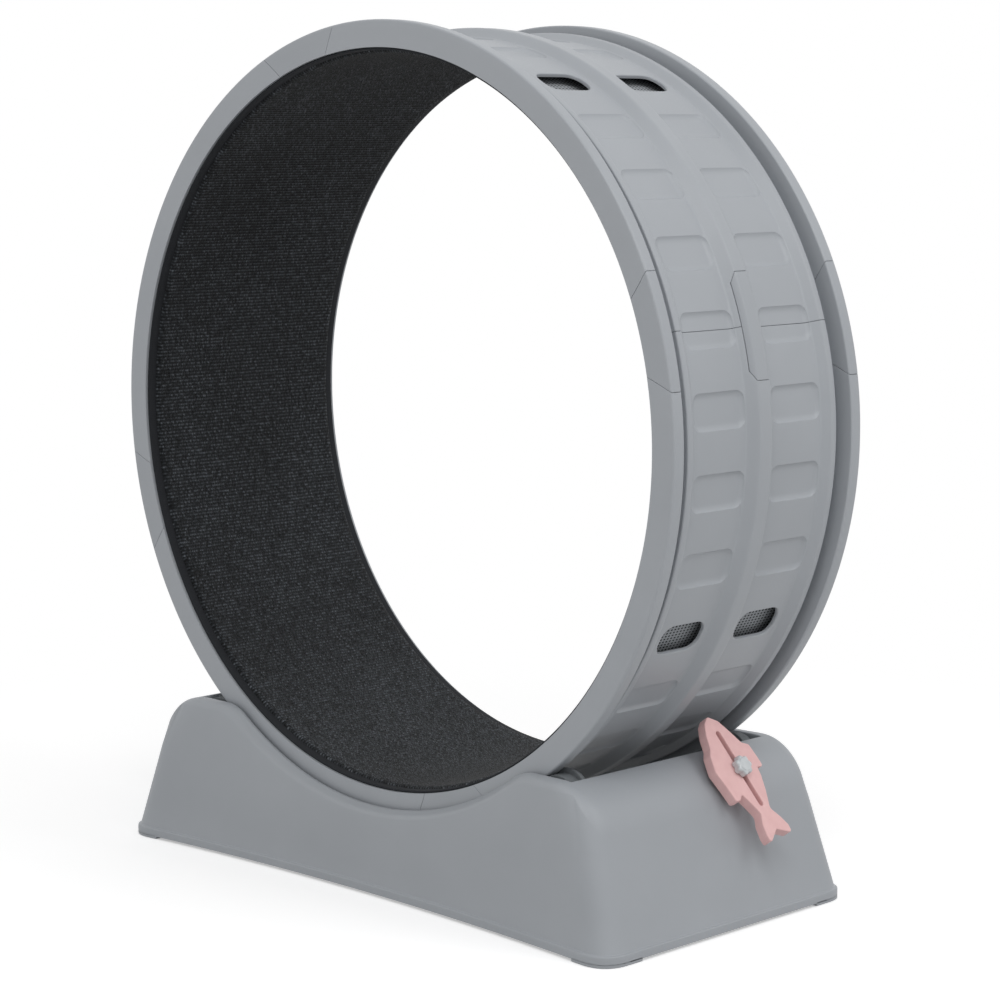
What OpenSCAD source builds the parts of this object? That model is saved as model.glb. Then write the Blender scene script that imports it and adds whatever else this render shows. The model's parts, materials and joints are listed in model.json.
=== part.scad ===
// Cat exercise wheel: a corrugated drum of four moulded quarters that runs on four rollers in a
// moulded base, with a sliding brake plate on one end. All lengths are in millimetres.
// X runs along the base with the brake on the right, Y is the wheel axis with the open front at
// the low end, Z is up and the floor is at zero.

/* [Drum] */
// Radius of the rim land, the largest radius of the drum
drum_r = 450; // [300:1:600]
// Width of the drum from face to face
drum_w = 306; // [200:1:400]
// Height of the drum above the floor
drum_up = 87; // [60:1:120]
// Wall thickness of the mouldings
wall = 4; // [2:0.1:6]
// Depth of the rim, from its land in to the mat
rim_deep = 30.5; // [24:0.1:40]
// Width of each rim land
rim_w = 16; // [8:0.1:30]
// Width of the valley between rim and bead
valley_w = 15; // [6:0.1:30]
// Depth of the bead crest under the rim land
bead_drop = 9; // [6:0.1:12]
// Width of the bead crest
bead_w = 8.5; // [3:0.1:20]
// Width of the slope from the bead down to the panel
bead_slope = 9.5; // [3:0.1:20]
// Depth of the flat panels under the rim land
panel_drop = 17; // [13:0.1:20]
// Thickness of the flat panels
panel_t = 6.5; // [4:0.1:10]
// Depth of the centre rib land under the rim land
rib_drop = 6; // [3:0.1:9]
// Width of the centre rib land
rib_w = 19; // [8:0.1:40]
// Thickness of the inner fins that carry the mat
fin_t = 3; // [1.5:0.1:6]
// Edge rounding of the rim
rim_soft = 2.6; // [0.5:0.1:4]
// Edge rounding of the corrugation
wave_soft = 1.8; // [0.5:0.1:4]
// Turn of the first joint round the wheel, in degrees
joint_turn = 16.3; // [0:0.1:90]
// Play between two quarter segments at the joint
joint_gap = 0.3; // [0.1:0.05:1]

/* [Pockets and slots] */
// Number of pocket places in one quarter
places = 8; // [6:2:10]
// Distance from a pocket end to the edge of its panel
pocket_end = 0.5; // [0.2:0.1:6]
// Width of a pocket round the drum
pocket_w = 38.5; // [20:0.5:45]
// Corner radius of a pocket
pocket_corner = 12; // [4:0.5:18]
// Depth of a pocket
pocket_d = 3; // [1:0.1:3.5]
// Distance from a slot end to the edge of its panel
slot_end = 2.4; // [1:0.1:8]
// Width of a slot round the drum
slot_w = 40; // [20:0.5:45]
// Corner radius of a slot
slot_corner = 11; // [4:0.5:18]

/* [Connectors] */
// Half turn that a rim connector covers on the land, in degrees
rim_cap_turn = 8.1; // [5:0.1:11]
// Half turn that a rim connector covers at the inner edge of the face, in degrees
rim_cap_foot_turn = 5.6; // [3:0.1:8]
// Half length of a centre connector on the land
mid_cap_half = 59; // [40:0.1:75]
// Half length of a centre connector at the foot of its slope
mid_cap_foot_half = 48; // [30:0.1:70]
// Clearance of a connector in its notch
cap_clear = 0.15; // [0.05:0.05:0.5]
// Half length of the block under a connector
block_half = 34; // [26:0.5:38]
// Turn of a screw from the joint, in degrees
screw_turn = 3.1; // [2.5:0.1:4]
// Radius of a screw shank
screw_r = 2; // [1:0.1:3]
// Radius of a screw head
screw_head_r = 3.2; // [1.6:0.1:3.4]
// Thickness of a screw head
screw_head_h = 2; // [1:0.1:2.4]
// Length of a screw under its head
screw_l = 13; // [8:0.5:15]
// Clearance of a screw in the plastic
screw_clear = 0.03; // [0.02:0.01:0.1]

/* [Mat] */
// Thickness of the running mat
mat_t = 6; // [3:0.1:10]
// Play between mat and drum
mat_gap = 0.3; // [0.1:0.05:1]
// Width of each edge binding
binding_w = 12; // [5:0.5:20]
// Distance from binding to drum face
binding_inset = 2; // [0.5:0.5:6]
// Thickness of the edge binding
binding_t = 7; // [4:0.1:11]

/* [Base] */
// How far the base flange ends short of the drum at each end
base_short = 45; // [20:1:70]
// How far the base flange reaches past the drum at each face, at its corners
base_out = 52.5; // [46:0.5:70]
// Inset of the long sides at mid length
waist = 24; // [10:0.5:30]
// Corner radius of the base plan
base_corner = 29; // [15:0.5:40]
// Height of the moulded corner feet over the floor
foot_h = 3.5; // [2:0.1:8]
// Length of a corner foot
foot_l = 52; // [30:1:80]
// Width of a corner foot
foot_w = 60; // [30:1:80]
// Thickness of the base flange
flange_h = 9.5; // [5:0.1:15]
// Step from the flange edge to the wall
flange_step = 3.5; // [2:0.1:8]
// Rise of the wall lean on the ends, sideways per upward length
end_lean_share = 0.288; // [0.1:0.001:0.4]
// Rise of the wall lean on the long sides
side_lean_share = 0.09; // [0.02:0.01:0.12]
// Radius of the roll at the top of the ends
roll_r = 70; // [40:0.5:80]
// Radius of the roll at the top of the humps
hump_roll_r = 10; // [5:0.5:20]
// Height of the hump tops over the roller axles
hump_up = 27.13; // [20:0.01:36]
// Corner radius of the plan near the top
top_corner = 30; // [20:0.5:60]
// How much smaller the saddle in the long walls is than the drum, in radius
saddle_less = 48; // [40:0.5:60]
// Drop of the saddle centre under the wheel centre
saddle_drop = 36; // [20:0.5:50]
// Rise of the bevel along the saddle, outward per axial length
bevel_share = 0.6; // [0.3:0.05:1]
// Play between the drum faces and the long sides of the well
well_gap = 4; // [3:0.5:6]
// How far the well runs past the centre line of the end rolls
well_past = 10.3; // [9:0.1:20]
// Radius of an anti-slip pad
pad_r = 14; // [8:0.5:18]
// Thickness of an anti-slip pad
pad_t = 2; // [1:0.1:2.8]
// How far a pad stands out of its foot
pad_out = 0.5; // [0.2:0.1:1]

/* [Rollers] */
// Tread radius of a roller
roller_r = 28; // [20:0.5:32]
// Turn of a roller axle round the wheel from straight down, in degrees
roller_turn = 36.57; // [32:0.01:40]
// Play between roller tread and rim land
roller_gap = 0.3; // [0.1:0.05:0.5]
// Width of the roller tread
tread_w = 13; // [8:0.1:15]
// Height of the guide flange over the tread
guide_h = 5; // [2:0.1:6]
// Width of the guide flange
guide_w = 5.5; // [3:0.1:7]
// Distance from guide flange to rim flank
guide_gap = 1.5; // [0.5:0.1:2]
// Thickness of the soft tread
tyre_t = 6; // [3:0.1:8]
// Radius of the axles
axle_r = 4; // [3:0.1:6]
// Outer radius of a ball bearing
bearing_r = 11; // [8:0.1:14]
// Width of a ball bearing
bearing_w = 7; // [5:0.1:9]
// Running play of a bearing on its axle
bearing_clear = 0.05; // [0.01:0.01:0.1]
// Outer radius of an axle clip
clip_r = 8; // [6:0.1:10]
// Thickness of an axle clip
clip_t = 1.2; // [0.8:0.1:1.4]
// Radius of an axle boss in the base
boss_r = 11; // [9:0.1:14]
// Play between an axle boss and the clip beside it
boss_gap = 0.5; // [0.2:0.1:1]

/* [Brake] */
// Lean of the brake plate normal over the level, in degrees
brake_lean = 35; // [20:1:50]
// Turn of the plate about its bolt, in degrees
brake_turn = 9.3; // [0:0.1:30]
// Place of the bolt on the end roll, in degrees over the level
bolt_turn = 43; // [36:0.1:52]
// Distance of the bolt from the mid plane of the wheel
bolt_y = 52; // [30:1:70]
// Thickness of the brake plate
fish_t = 13; // [6:0.5:16]
// Length of the plate from tail to nose
fish_l = 152; // [110:1:180]
// Share of the plate length that the slot takes
slot_share = 0.625; // [0.4:0.005:0.66]
// Width of the slot in the plate
fish_slot_w = 6.6; // [6.4:0.1:8]
// Distance of the bolt from the lower slot end
bolt_up = 48; // [20:1:60]
// Radius of the stud
stud_r = 3; // [2:0.1:3.1]
// Radius of the spacer
spacer_r = 9.5; // [6:0.1:12]
// Thickness of the spacer
spacer_t = 3.5; // [2:0.1:6]
// How far the brake boss stands out of the end roll
brake_seat = 3.5; // [2.2:0.1:5]
// Depth of the brake boss behind the wall face
brake_boss_d = 14; // [12:0.5:18]
// Radius of the washer
washer_r = 8; // [6:0.1:9]
// Thickness of the washer
washer_t = 1.2; // [0.8:0.1:2]
// Radius of the star knob over its lobes
knob_r = 12; // [9:0.1:16]
// Height of the star knob
knob_h = 9.5; // [6:0.1:16]
// Number of lobes on the star knob
knob_lobes = 7; // [3:1:8]
// Radius of the captive nut over its corners
nut_r = 5.7; // [5:0.1:7]
// Thickness of the captive nut
nut_h = 5; // [3:0.1:6]

/* [Hidden] */
$fn = 96;
soft_steps = 3;
overrun = 1;
wheel_z = drum_r + drum_up;
inner_r = drum_r - rim_deep;
bead_r = drum_r - bead_drop;
panel_r = drum_r - panel_drop;
rib_r = drum_r - rib_drop;
mat_face_r = inner_r - mat_gap;
half_w = drum_w / 2;
rim_in_y = half_w - rim_w;
bead_out_y = rim_in_y - valley_w;
bead_in_y = bead_out_y - bead_w;
panel_out_y = bead_in_y - bead_slope;
rib_half = rib_w / 2;
rib_foot = rib_half + rib_r - panel_r;
floor_r = inner_r + wall;
panel_in_r = panel_r - panel_t;
rib_floor_r = panel_in_r + wall;
slope_in = wall * (sqrt(2) - 1);
pocket_y = (rib_foot + panel_out_y) / 2;
pocket_l = panel_out_y - rib_foot - 2 * pocket_end;
slot_l = panel_out_y - rib_foot - 2 * slot_end;
place_turn = 90 / places;
gap_turn = asin(joint_gap / drum_r);
cap_run = wall + rim_w;
axle_d = drum_r + roller_r + roller_gap;
axle_z = wheel_z - axle_d * cos(roller_turn);
roller_x = axle_d * sin(roller_turn);
base_l = 2 * (drum_r - base_short);
base_w = drum_w + 2 * base_out;
base_h = axle_z + hump_up;
saddle_r = drum_r - saddle_less;
well_half_w = half_w + well_gap;
waist_r = (base_l * base_l / 4 + waist * waist) / (2 * waist);
wall_z = foot_h + flange_h;
end_x = base_l / 2 - flange_step;
side_y = base_w / 2 - flange_step;
end_lean = atan(end_lean_share);
side_lean = atan(side_lean_share);
roll_z = base_h - roll_r;
roll_x = end_x - end_lean_share * (roll_z + roll_r * sin(end_lean) - wall_z) - roll_r * cos(end_lean);
well_half_l = roll_x + well_past;
roll_turns = [end_lean, 32, 45, 57, 68, 79, 90];
slice_h = 0.2;
corner_sides = 32;
guide_y = rim_in_y - guide_gap - guide_w;
tread_y = guide_y + guide_w + guide_gap;
roller_end_y = tread_y + tread_w;
clip_y = roller_end_y + 4 * bearing_clear;
boss_y = clip_y + clip_t + boss_gap;
axle_half = well_half_w + 2 * wall;
bolt_x = roll_x + roll_r * cos(bolt_turn);
bolt_z = roll_z + roll_r * sin(bolt_turn);
plate_seat = brake_seat + spacer_t;
plate_top = plate_seat + fish_t;
fish_slot_l = slot_share * fish_l;
knob_seat = plate_top + washer_t;

// Rounded outlines: each point is given as [x, y, corner radius]
function unit(v) = v / norm(v);
function turn_to(a) = a > 180 ? a - 360 : (a < -180 ? a + 360 : a);
function arc_points(c, r, a, turn) =
    [for (i = [0:soft_steps]) c + r * [cos(a + turn * i / soft_steps), sin(a + turn * i / soft_steps)]];
function corner(a, b, c, r) =
    let (u = unit(a - b), v = unit(c - b), half = acos(u * v) / 2)
    let (q = b + unit(u + v) * r / sin(half), p = b + u * r / tan(half), s = b + v * r / tan(half))
    let (start = atan2(p.y - q.y, p.x - q.x), stop = atan2(s.y - q.y, s.x - q.x))
    arc_points(q, r, start, turn_to(stop - start));
function flat(p) = [p.x, p.y];
function outline(points) =
    let (n = len(points))
    [for (i = [0:n - 1])
        each points[i].z == 0
            ? [flat(points[i])]
            : corner(flat(points[(i + n - 1) % n]), flat(points[i]), flat(points[(i + 1) % n]), points[i].z)];
function other_side(points) = [for (i = [len(points) - 1:-1:0]) [points[i].x, -points[i].y, points[i].z]];

// Drum section, radius across and axial place up

half_wave = [
    [rib_r, rib_half, wave_soft],
    [panel_r, rib_foot, wave_soft],
    [panel_r, panel_out_y, wave_soft],
    [bead_r, bead_in_y, wave_soft],
    [bead_r, bead_out_y, wave_soft],
    [floor_r, bead_out_y, wave_soft],
    [floor_r, rim_in_y, wave_soft],
    [drum_r, rim_in_y, wave_soft],
    [drum_r, half_w, rim_soft],
    [inner_r, half_w, 0]
];

module drum_outline() {
    polygon(outline(concat(other_side(half_wave), half_wave)));
}

module rim_hollow() {
    translate([floor_r, rim_in_y + wall])
        square([drum_r - wall - floor_r, rim_w - 2 * wall]);
}

module rib_hollow() {
    foot = rib_half - slope_in + rib_r - wall - rib_floor_r;
    polygon([
        [rib_floor_r, foot],
        [rib_r - wall, rib_half - slope_in],
        [rib_r - wall, slope_in - rib_half],
        [rib_floor_r, -foot]
    ]);
}

module panel_hollows() {
    fin_y = pocket_y + fin_t / 2;
    low = inner_r - overrun;
    polygon([
        [low, fin_y],
        [panel_in_r, fin_y],
        [panel_in_r, panel_out_y],
        [bead_r - wall, bead_in_y + fin_t / 2],
        [bead_r - wall, bead_out_y - wall],
        [low, bead_out_y - wall]
    ]);
    translate([low, rib_foot + fin_t / 2])
        square([panel_in_r - low, pocket_y - rib_foot - fin_t]);
}

module drum_section() {
    low = inner_r - overrun;
    difference() {
        drum_outline();
        rib_hollow();
        translate([low, fin_t / 2 - rib_foot])
            square([panel_in_r - low, 2 * rib_foot - fin_t]);
        for (side = [0, 1])
            mirror([0, side]) {
                rim_hollow();
                panel_hollows();
            }
    }
}

module in_wheel() {
    translate([0, 0, wheel_z])
        rotate([90, 0, 0])
            children();
}

module radial(turn, radius, y) {
    rotate([0, 0, turn])
        translate([radius, 0, y])
            rotate([0, 90, 0])
                children();
}

module rounded(l, w, r) {
    square([l - 2 * r, w], center = true);
    square([l, w - 2 * r], center = true);
    for (x = [-1, 1])
        for (y = [-1, 1])
            translate([x * (l / 2 - r), y * (w / 2 - r)])
                circle(r);
}

module pocket(turn, y) {
    radial(turn, panel_r - pocket_d, y)
        linear_extrude(pocket_d + 2 * overrun)
            rounded(pocket_l, pocket_w, pocket_corner);
}

module slot(turn, y) {
    radial(turn, inner_r - 2 * overrun, y)
        linear_extrude(drum_r - inner_r)
            rounded(slot_l, slot_w, slot_corner);
}

// Connectors, drawn for a joint on the level line of the wheel

function cap_side(grow) =
    let (foot = inner_r * [cos(rim_cap_foot_turn), sin(rim_cap_foot_turn)])
    let (top = drum_r * [cos(rim_cap_turn), sin(rim_cap_turn)])
    let (run = unit(top - foot) * cap_run)
    [foot - run + [0, grow], top + run + [0, grow]];

module rim_cap_prism(grow, y0, y1) {
    side = cap_side(grow);
    translate([0, 0, y0])
        linear_extrude(y1 - y0)
            polygon([side[0], side[1], [side[1].x, -side[1].y], [side[0].x, -side[0].y]]);
}

module rim_notch() {
    difference() {
        rim_cap_prism(0, rim_in_y - overrun, half_w + overrun);
        translate([0, 0, rim_in_y - 2 * overrun])
            cylinder(h = rim_w - wall + 2 * overrun, r = floor_r);
    }
}

module rim_cap_section() {
    difference() {
        intersection() {
            drum_outline();
            translate([inner_r, rim_in_y])
                square([drum_r, rim_w]);
        }
        rim_hollow();
        translate([inner_r - overrun, rim_in_y - overrun])
            square([wall + overrun + cap_clear, rim_w - wall + overrun + cap_clear]);
    }
}

module rim_cap() {
    block_w = rim_w - 2 * wall - 2 * cap_clear;
    low = floor_r + 2 * cap_clear;
    difference() {
        union() {
            intersection() {
                rotate([0, 0, -rim_cap_turn * 1.5])
                    rotate_extrude(angle = rim_cap_turn * 3)
                        rim_cap_section();
                rim_cap_prism(-cap_clear, rim_in_y - overrun, half_w + overrun);
            }
            translate([low, -block_half, rim_in_y + wall + cap_clear])
                cube([drum_r - wall / 2 - low, 2 * block_half, block_w]);
        }
        for (side = [-1, 1])
            radial(side * screw_turn, floor_r - overrun, half_w - rim_w / 2)
                cylinder(h = screw_l + overrun, r = screw_r + screw_clear);
    }
}

module mid_cap_prism(grow) {
    long = mid_cap_half + grow;
    foot = mid_cap_foot_half + grow;
    half = rib_half;
    wide = rib_foot + grow;
    translate([rib_floor_r, 0, 0])
        rotate([0, 90, 0])
            linear_extrude(drum_r - rib_floor_r)
                polygon([[half, long], [wide, foot], [wide, -foot], [half, -long],
                         [-half, -long], [-wide, -foot], [-wide, foot], [-half, long]]);
}

module mid_cap() {
    low = rib_floor_r + 2 * cap_clear;
    difference() {
        union() {
            intersection() {
                rotate([0, 0, -rim_cap_turn * 1.5])
                    rotate_extrude(angle = rim_cap_turn * 3)
                        difference() {
                            drum_outline();
                            rib_hollow();
                            translate([0, -half_w - overrun])
                                square([rib_floor_r + cap_clear, drum_w + 2 * overrun]);
                        }
                mid_cap_prism(-cap_clear);
            }
            translate([low, -block_half, slope_in + cap_clear - rib_half])
                cube([rib_r - wall / 2 - low, 2 * block_half, rib_w - 2 * slope_in - 2 * cap_clear]);
        }
        for (side = [-1, 1])
            radial(side * screw_turn, rib_floor_r - wall, 0)
                cylinder(h = screw_l, r = screw_r + screw_clear);
    }
}

module screw(turn, radius, y) {
    radial(turn, radius, y) {
        cylinder(h = screw_head_h, r = screw_head_r);
        cylinder(h = screw_head_h + screw_l - overrun, r = screw_r);
    }
}

module joint_screws(turn) {
    for (side = [-1, 1]) {
        screw(turn + side * screw_turn, panel_in_r - screw_head_h, 0);
        for (end = [-1, 1])
            screw(turn + side * screw_turn, inner_r + joint_gap, end * (half_w - rim_w / 2));
    }
}

module joint_cuts(turn) {
    rotate([0, 0, turn]) {
        mid_cap_prism(0);
        for (end = [0, 1])
            mirror([0, 0, end])
                rim_notch();
        for (side = [-1, 1]) {
            radial(side * screw_turn, inner_r, 0)
                cylinder(h = screw_l, r = screw_r + screw_clear);
            for (end = [-1, 1])
                radial(side * screw_turn, inner_r - overrun, end * (half_w - rim_w / 2)) {
                    cylinder(h = overrun + joint_gap + screw_head_h, r = screw_head_r + joint_gap);
                    cylinder(h = screw_l, r = screw_r + screw_clear);
                }
        }
    }
}

module drum_segment(n) {
    from = joint_turn + (n - 1) * 90;
    color("#b4b7b9")
        in_wheel()
            difference() {
                rotate([0, 0, from + gap_turn / 2])
                    rotate_extrude(angle = 90 - gap_turn)
                        drum_section();
                for (y = [-pocket_y, pocket_y]) {
                    for (i = [0:places])
                        if (i != places / 2)
                            pocket(from + i * place_turn, y);
                    slot(from + 45, y);
                }
                joint_cuts(from);
                joint_cuts(from + 90);
            }
}

module front_connector(n) {
    color("#a9acae")
        in_wheel()
            rotate([0, 0, joint_turn + (n - 1) * 90])
                rim_cap();
}

module rear_connector(n) {
    color("#a9acae")
        in_wheel()
            rotate([0, 0, joint_turn + (n - 1) * 90])
                mirror([0, 0, 1])
                    rim_cap();
}

module centre_connector(n) {
    color("#a9acae")
        in_wheel()
            rotate([0, 0, joint_turn + (n - 1) * 90])
                mid_cap();
}

module connector_screws() {
    color("#8d9093")
        in_wheel()
            for (n = [0:3])
                joint_screws(joint_turn + n * 90);
}

// Mat and its bindings

module running_mat() {
    half = half_w - binding_inset - binding_w - joint_gap;
    color("#2b2e31")
        in_wheel()
            rotate_extrude()
                translate([mat_face_r - mat_t, -half])
                    square([mat_t, 2 * half]);
}

module binding(side) {
    soft = binding_t / 4;
    low = mat_face_r - binding_t;
    near = half_w - binding_inset - binding_w;
    far = half_w - binding_inset;
    color("#1c1d1f")
        in_wheel()
            mirror([0, 0, side])
                rotate_extrude()
                    polygon(outline([
                        [low, near, soft],
                        [mat_face_r, near, 0],
                        [mat_face_r, far, soft],
                        [low, far, soft]
                    ]));
}

module front_mat_binding() {
    binding(0);
}

module rear_mat_binding() {
    binding(1);
}

// Base

module slice(z, half_x, half_y, r) {
    for (x = [-1, 1])
        for (y = [-1, 1])
            translate([x * (half_x - r), y * (half_y - r), z])
                cylinder(h = slice_h, r = r, $fn = corner_sides);
}

function wall_x(z) = end_x - end_lean_share * (z - wall_z);
function wall_y(z) = side_y - side_lean_share * (z - wall_z);

module base_block(inset, from_z) {
    r_end = roll_r - inset;
    top = base_h - inset;
    low_r = base_corner - inset;
    top_r = top_corner - inset;
    hull() {
        slice(from_z, wall_x(wall_z) - inset, wall_y(wall_z) - inset, low_r);
        slice(wall_z, wall_x(wall_z) - inset, wall_y(wall_z) - inset, low_r);
        for (turn = roll_turns) {
            z = roll_z + r_end * sin(turn);
            grow = (turn - end_lean) / (90 - end_lean);
            r = hump_roll_r;
            up = max(0, z + r - top);
            dip = r - sqrt(max(0, r * r - up * up));
            slice(z - slice_h, roll_x + r_end * cos(turn), wall_y(z) - inset - dip, low_r + grow * (top_r - low_r));
        }
    }
}

module waist_cut(inset, z0, z1) {
    for (side = [0, 1])
        mirror([0, side, 0])
            translate([0, waist + inset - wall_y(wall_z), wall_z])
                rotate([-side_lean, 0, 0])
                    translate([0, -waist_r, z0])
                        cylinder(h = z1 - z0, r = waist_r, $fn = 720);
}

module saddle_cut(grow) {
    edge = saddle_r + grow;
    from = well_half_w + wall - grow * (norm([1, bevel_share]) - 1) / bevel_share;
    long = base_w / 4;
    translate([0, 0, -saddle_drop])
        in_wheel() {
            cylinder(h = 2 * base_w, r = edge, center = true, $fn = 360);
            for (end = [0, 1])
                mirror([0, 0, end])
                    translate([0, 0, from])
                        cylinder(h = long, r1 = edge, r2 = edge + bevel_share * long, $fn = 360);
        }
}

module base_form(inset, from_z) {
    difference() {
        base_block(inset, from_z);
        waist_cut(inset, -2 * wall_z, 2 * base_h);
        saddle_cut(inset);
    }
}

module plan(grow) {
    difference() {
        rounded(base_l + 2 * grow, base_w + 2 * grow, base_corner + grow);
        for (side = [-1, 1])
            translate([0, side * (base_w / 2 - waist + waist_r + grow)])
                circle(waist_r, $fn = 720);
    }
}

module corner_feet() {
    translate([0, 0, pad_out])
        linear_extrude(foot_h)
            intersection() {
                plan(0);
                for (x = [-1, 1])
                    for (y = [-1, 1])
                        translate([x * (base_l - foot_l) / 2, y * (base_w - foot_w) / 2])
                            square([foot_l, foot_w], center = true);
            }
}

module at_feet(n) {
    x = n % 2 == 1 ? 1 : -1;
    y = n > 2 ? 1 : -1;
    translate([x * (base_l - foot_l) / 2, y * (base_w - foot_w) / 2, 0])
        children();
}

module at_brake() {
    translate([bolt_x, bolt_y, bolt_z])
        rotate([0, 90 - brake_lean, 0])
            rotate([0, 0, 180 + brake_turn])
                children();
}

module axle_bosses() {
    for (x = [-roller_x, roller_x])
        for (side = [0, 1])
            mirror([0, side, 0])
                translate([x, -boss_y, axle_z])
                    rotate([90, 0, 0])
                        cylinder(h = base_w / 2 - boss_y, r = boss_r);
}

module axle_bores() {
    for (x = [-roller_x, roller_x])
        translate([x, axle_half + cap_clear, axle_z])
            rotate([90, 0, 0])
                cylinder(h = 2 * (axle_half + cap_clear), r = axle_r + cap_clear);
}

module base_shell() {
    color("#9da1a4")
        difference() {
            union() {
                difference() {
                    union() {
                        base_form(0, foot_h + overrun);
                        translate([0, 0, foot_h])
                            linear_extrude(flange_h)
                                plan(0);
                    }
                    base_form(wall, -overrun);
                    translate([-well_half_l, -well_half_w, -overrun])
                        cube([2 * well_half_l, 2 * well_half_w, base_h + 2 * overrun]);
                }
                corner_feet();
                intersection() {
                    axle_bosses();
                    base_form(wall / 2, -overrun);
                }
                at_brake()
                    translate([0, 0, -brake_boss_d])
                        cylinder(h = brake_boss_d + brake_seat, r = spacer_r + overrun);
            }
            axle_bores();
            at_brake() {
                translate([0, 0, -brake_boss_d - overrun])
                    cylinder(h = brake_boss_d + brake_seat + 2 * overrun, r = stud_r + cap_clear);
                translate([0, 0, -brake_boss_d - overrun])
                    cylinder(h = nut_h + overrun + cap_clear, r = nut_r + cap_clear, $fn = 6);
            }
            for (n = [1:4])
                at_feet(n)
                    cylinder(h = pad_t + cap_clear, r = pad_r + cap_clear);
        }
}

module foot_pad(n) {
    color("#2a2a2b")
        at_feet(n)
            cylinder(h = pad_t, r = pad_r);
}

// Axles and rollers

module axle(side) {
    color("#b9bcc0")
        translate([side * roller_x, axle_half, axle_z])
            rotate([90, 0, 0])
                cylinder(h = 2 * axle_half, r = axle_r);
}

module ring(y0, y1, r0, r1) {
    translate([0, 0, y0])
        rotate_extrude()
            translate([r0, 0])
                square([r1 - r0, y1 - y0]);
}

module axle_clips(side) {
    near = guide_y - 4 * bearing_clear;
    color("#7b7e82")
        translate([side * roller_x, 0, axle_z])
            rotate([90, 0, 0])
                for (end = [0, 1])
                    mirror([0, 0, end]) {
                        ring(near - clip_t, near, axle_r, clip_r);
                        ring(clip_y, clip_y + clip_t, axle_r, clip_r);
                    }
}

module at_roller(n) {
    x = n < 3 ? roller_x : -roller_x;
    translate([x, 0, axle_z])
        rotate([90, 0, 0])
            mirror([0, 0, n % 2 == 1 ? 0 : 1])
                children();
}

module roller_hub(n) {
    color("#7d8083")
        at_roller(n)
            ring(guide_y, roller_end_y, bearing_r + bearing_clear, roller_r - tyre_t);
}

module roller_tyre(n) {
    core = roller_r - tyre_t;
    color("#5c5f62")
        at_roller(n)
            rotate_extrude()
                polygon(outline([
                    [core, guide_y, 0],
                    [roller_r + guide_h, guide_y, overrun],
                    [roller_r + guide_h, guide_y + guide_w, overrun],
                    [roller_r, guide_y + guide_w, 0],
                    [roller_r, roller_end_y, overrun],
                    [core, roller_end_y, 0]
                ]));
}

module roller_bearings(n) {
    color("#c9ccd0")
        at_roller(n) {
            ring(guide_y, guide_y + bearing_w, axle_r + bearing_clear, bearing_r);
            ring(roller_end_y - bearing_w, roller_end_y, axle_r + bearing_clear, bearing_r);
        }
}

// Brake

fish_shares = [
    [0.743, 0.008, 0.03], [0.68, -0.07, 0.03], [0.565, -0.126, 0.05], [0.47, -0.167, 0.02],
    [0.434, -0.226, 0.03], [0.333, -0.234, 0.05], [0.243, -0.237, 0.02], [0.265, -0.176, 0.01],
    [0.2, -0.165, 0.05], [0.09, -0.122, 0.05], [-0.034, -0.058, 0.04], [-0.118, -0.105, 0.05],
    [-0.196, -0.134, 0.04], [-0.261, -0.126, 0.02], [-0.184, 0.002, 0.01], [-0.252, 0.128, 0.02],
    [-0.194, 0.13, 0.03], [-0.107, 0.106, 0.05], [-0.037, 0.061, 0.04], [0.05, 0.09, 0.05],
    [0.142, 0.128, 0.01], [0.11, 0.172, 0.01], [0.117, 0.217, 0.02], [0.245, 0.228, 0.05],
    [0.366, 0.245, 0.04], [0.485, 0.201, 0.03], [0.53, 0.16, 0.02], [0.623, 0.125, 0.05],
    [0.702, 0.073, 0.03]
];

module fish_outline() {
    translate([-bolt_up, 0])
        polygon(outline(fish_shares * fish_l));
}

module brake_fish() {
    color("#dbaeb0")
        at_brake()
            translate([0, 0, plate_seat])
                difference() {
                    linear_extrude(fish_t)
                        fish_outline();
                    translate([0, 0, -overrun])
                        linear_extrude(fish_t + 2 * overrun)
                            translate([fish_slot_l / 2 - bolt_up, 0])
                                rounded(fish_slot_l, fish_slot_w, fish_slot_w / 2 - bearing_clear);
                }
}

module brake_nut() {
    color("#b9bcc0")
        at_brake()
            translate([0, 0, -brake_boss_d])
                difference() {
                    cylinder(h = nut_h, r = nut_r, $fn = 6);
                    translate([0, 0, -overrun])
                        cylinder(h = nut_h + 2 * overrun, r = stud_r + bearing_clear);
                }
}

module brake_spacer() {
    color("#8d9093")
        at_brake()
            ring(brake_seat, plate_seat, stud_r + bearing_clear, spacer_r);
}

module brake_washer() {
    color("#b9bcc0")
        at_brake()
            ring(plate_top, knob_seat, stud_r + bearing_clear, washer_r);
}

module brake_stud() {
    color("#b9bcc0")
        at_brake()
            translate([0, 0, -brake_boss_d])
                cylinder(h = brake_boss_d + knob_seat + knob_h / 2, r = stud_r);
}

module star_knob() {
    lobe = knob_r / 4;
    color("#afb4b6")
        at_brake()
            translate([0, 0, knob_seat])
                difference() {
                    union() {
                        cylinder(h = knob_h, r = knob_r - lobe);
                        for (i = [0:knob_lobes - 1])
                            rotate([0, 0, i * 360 / knob_lobes])
                                translate([knob_r - lobe, 0, 0])
                                    cylinder(h = knob_h, r = lobe);
                    }
                    translate([0, 0, -overrun])
                        cylinder(h = knob_h / 2 + overrun, r = stud_r + bearing_clear);
                }
}

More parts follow.
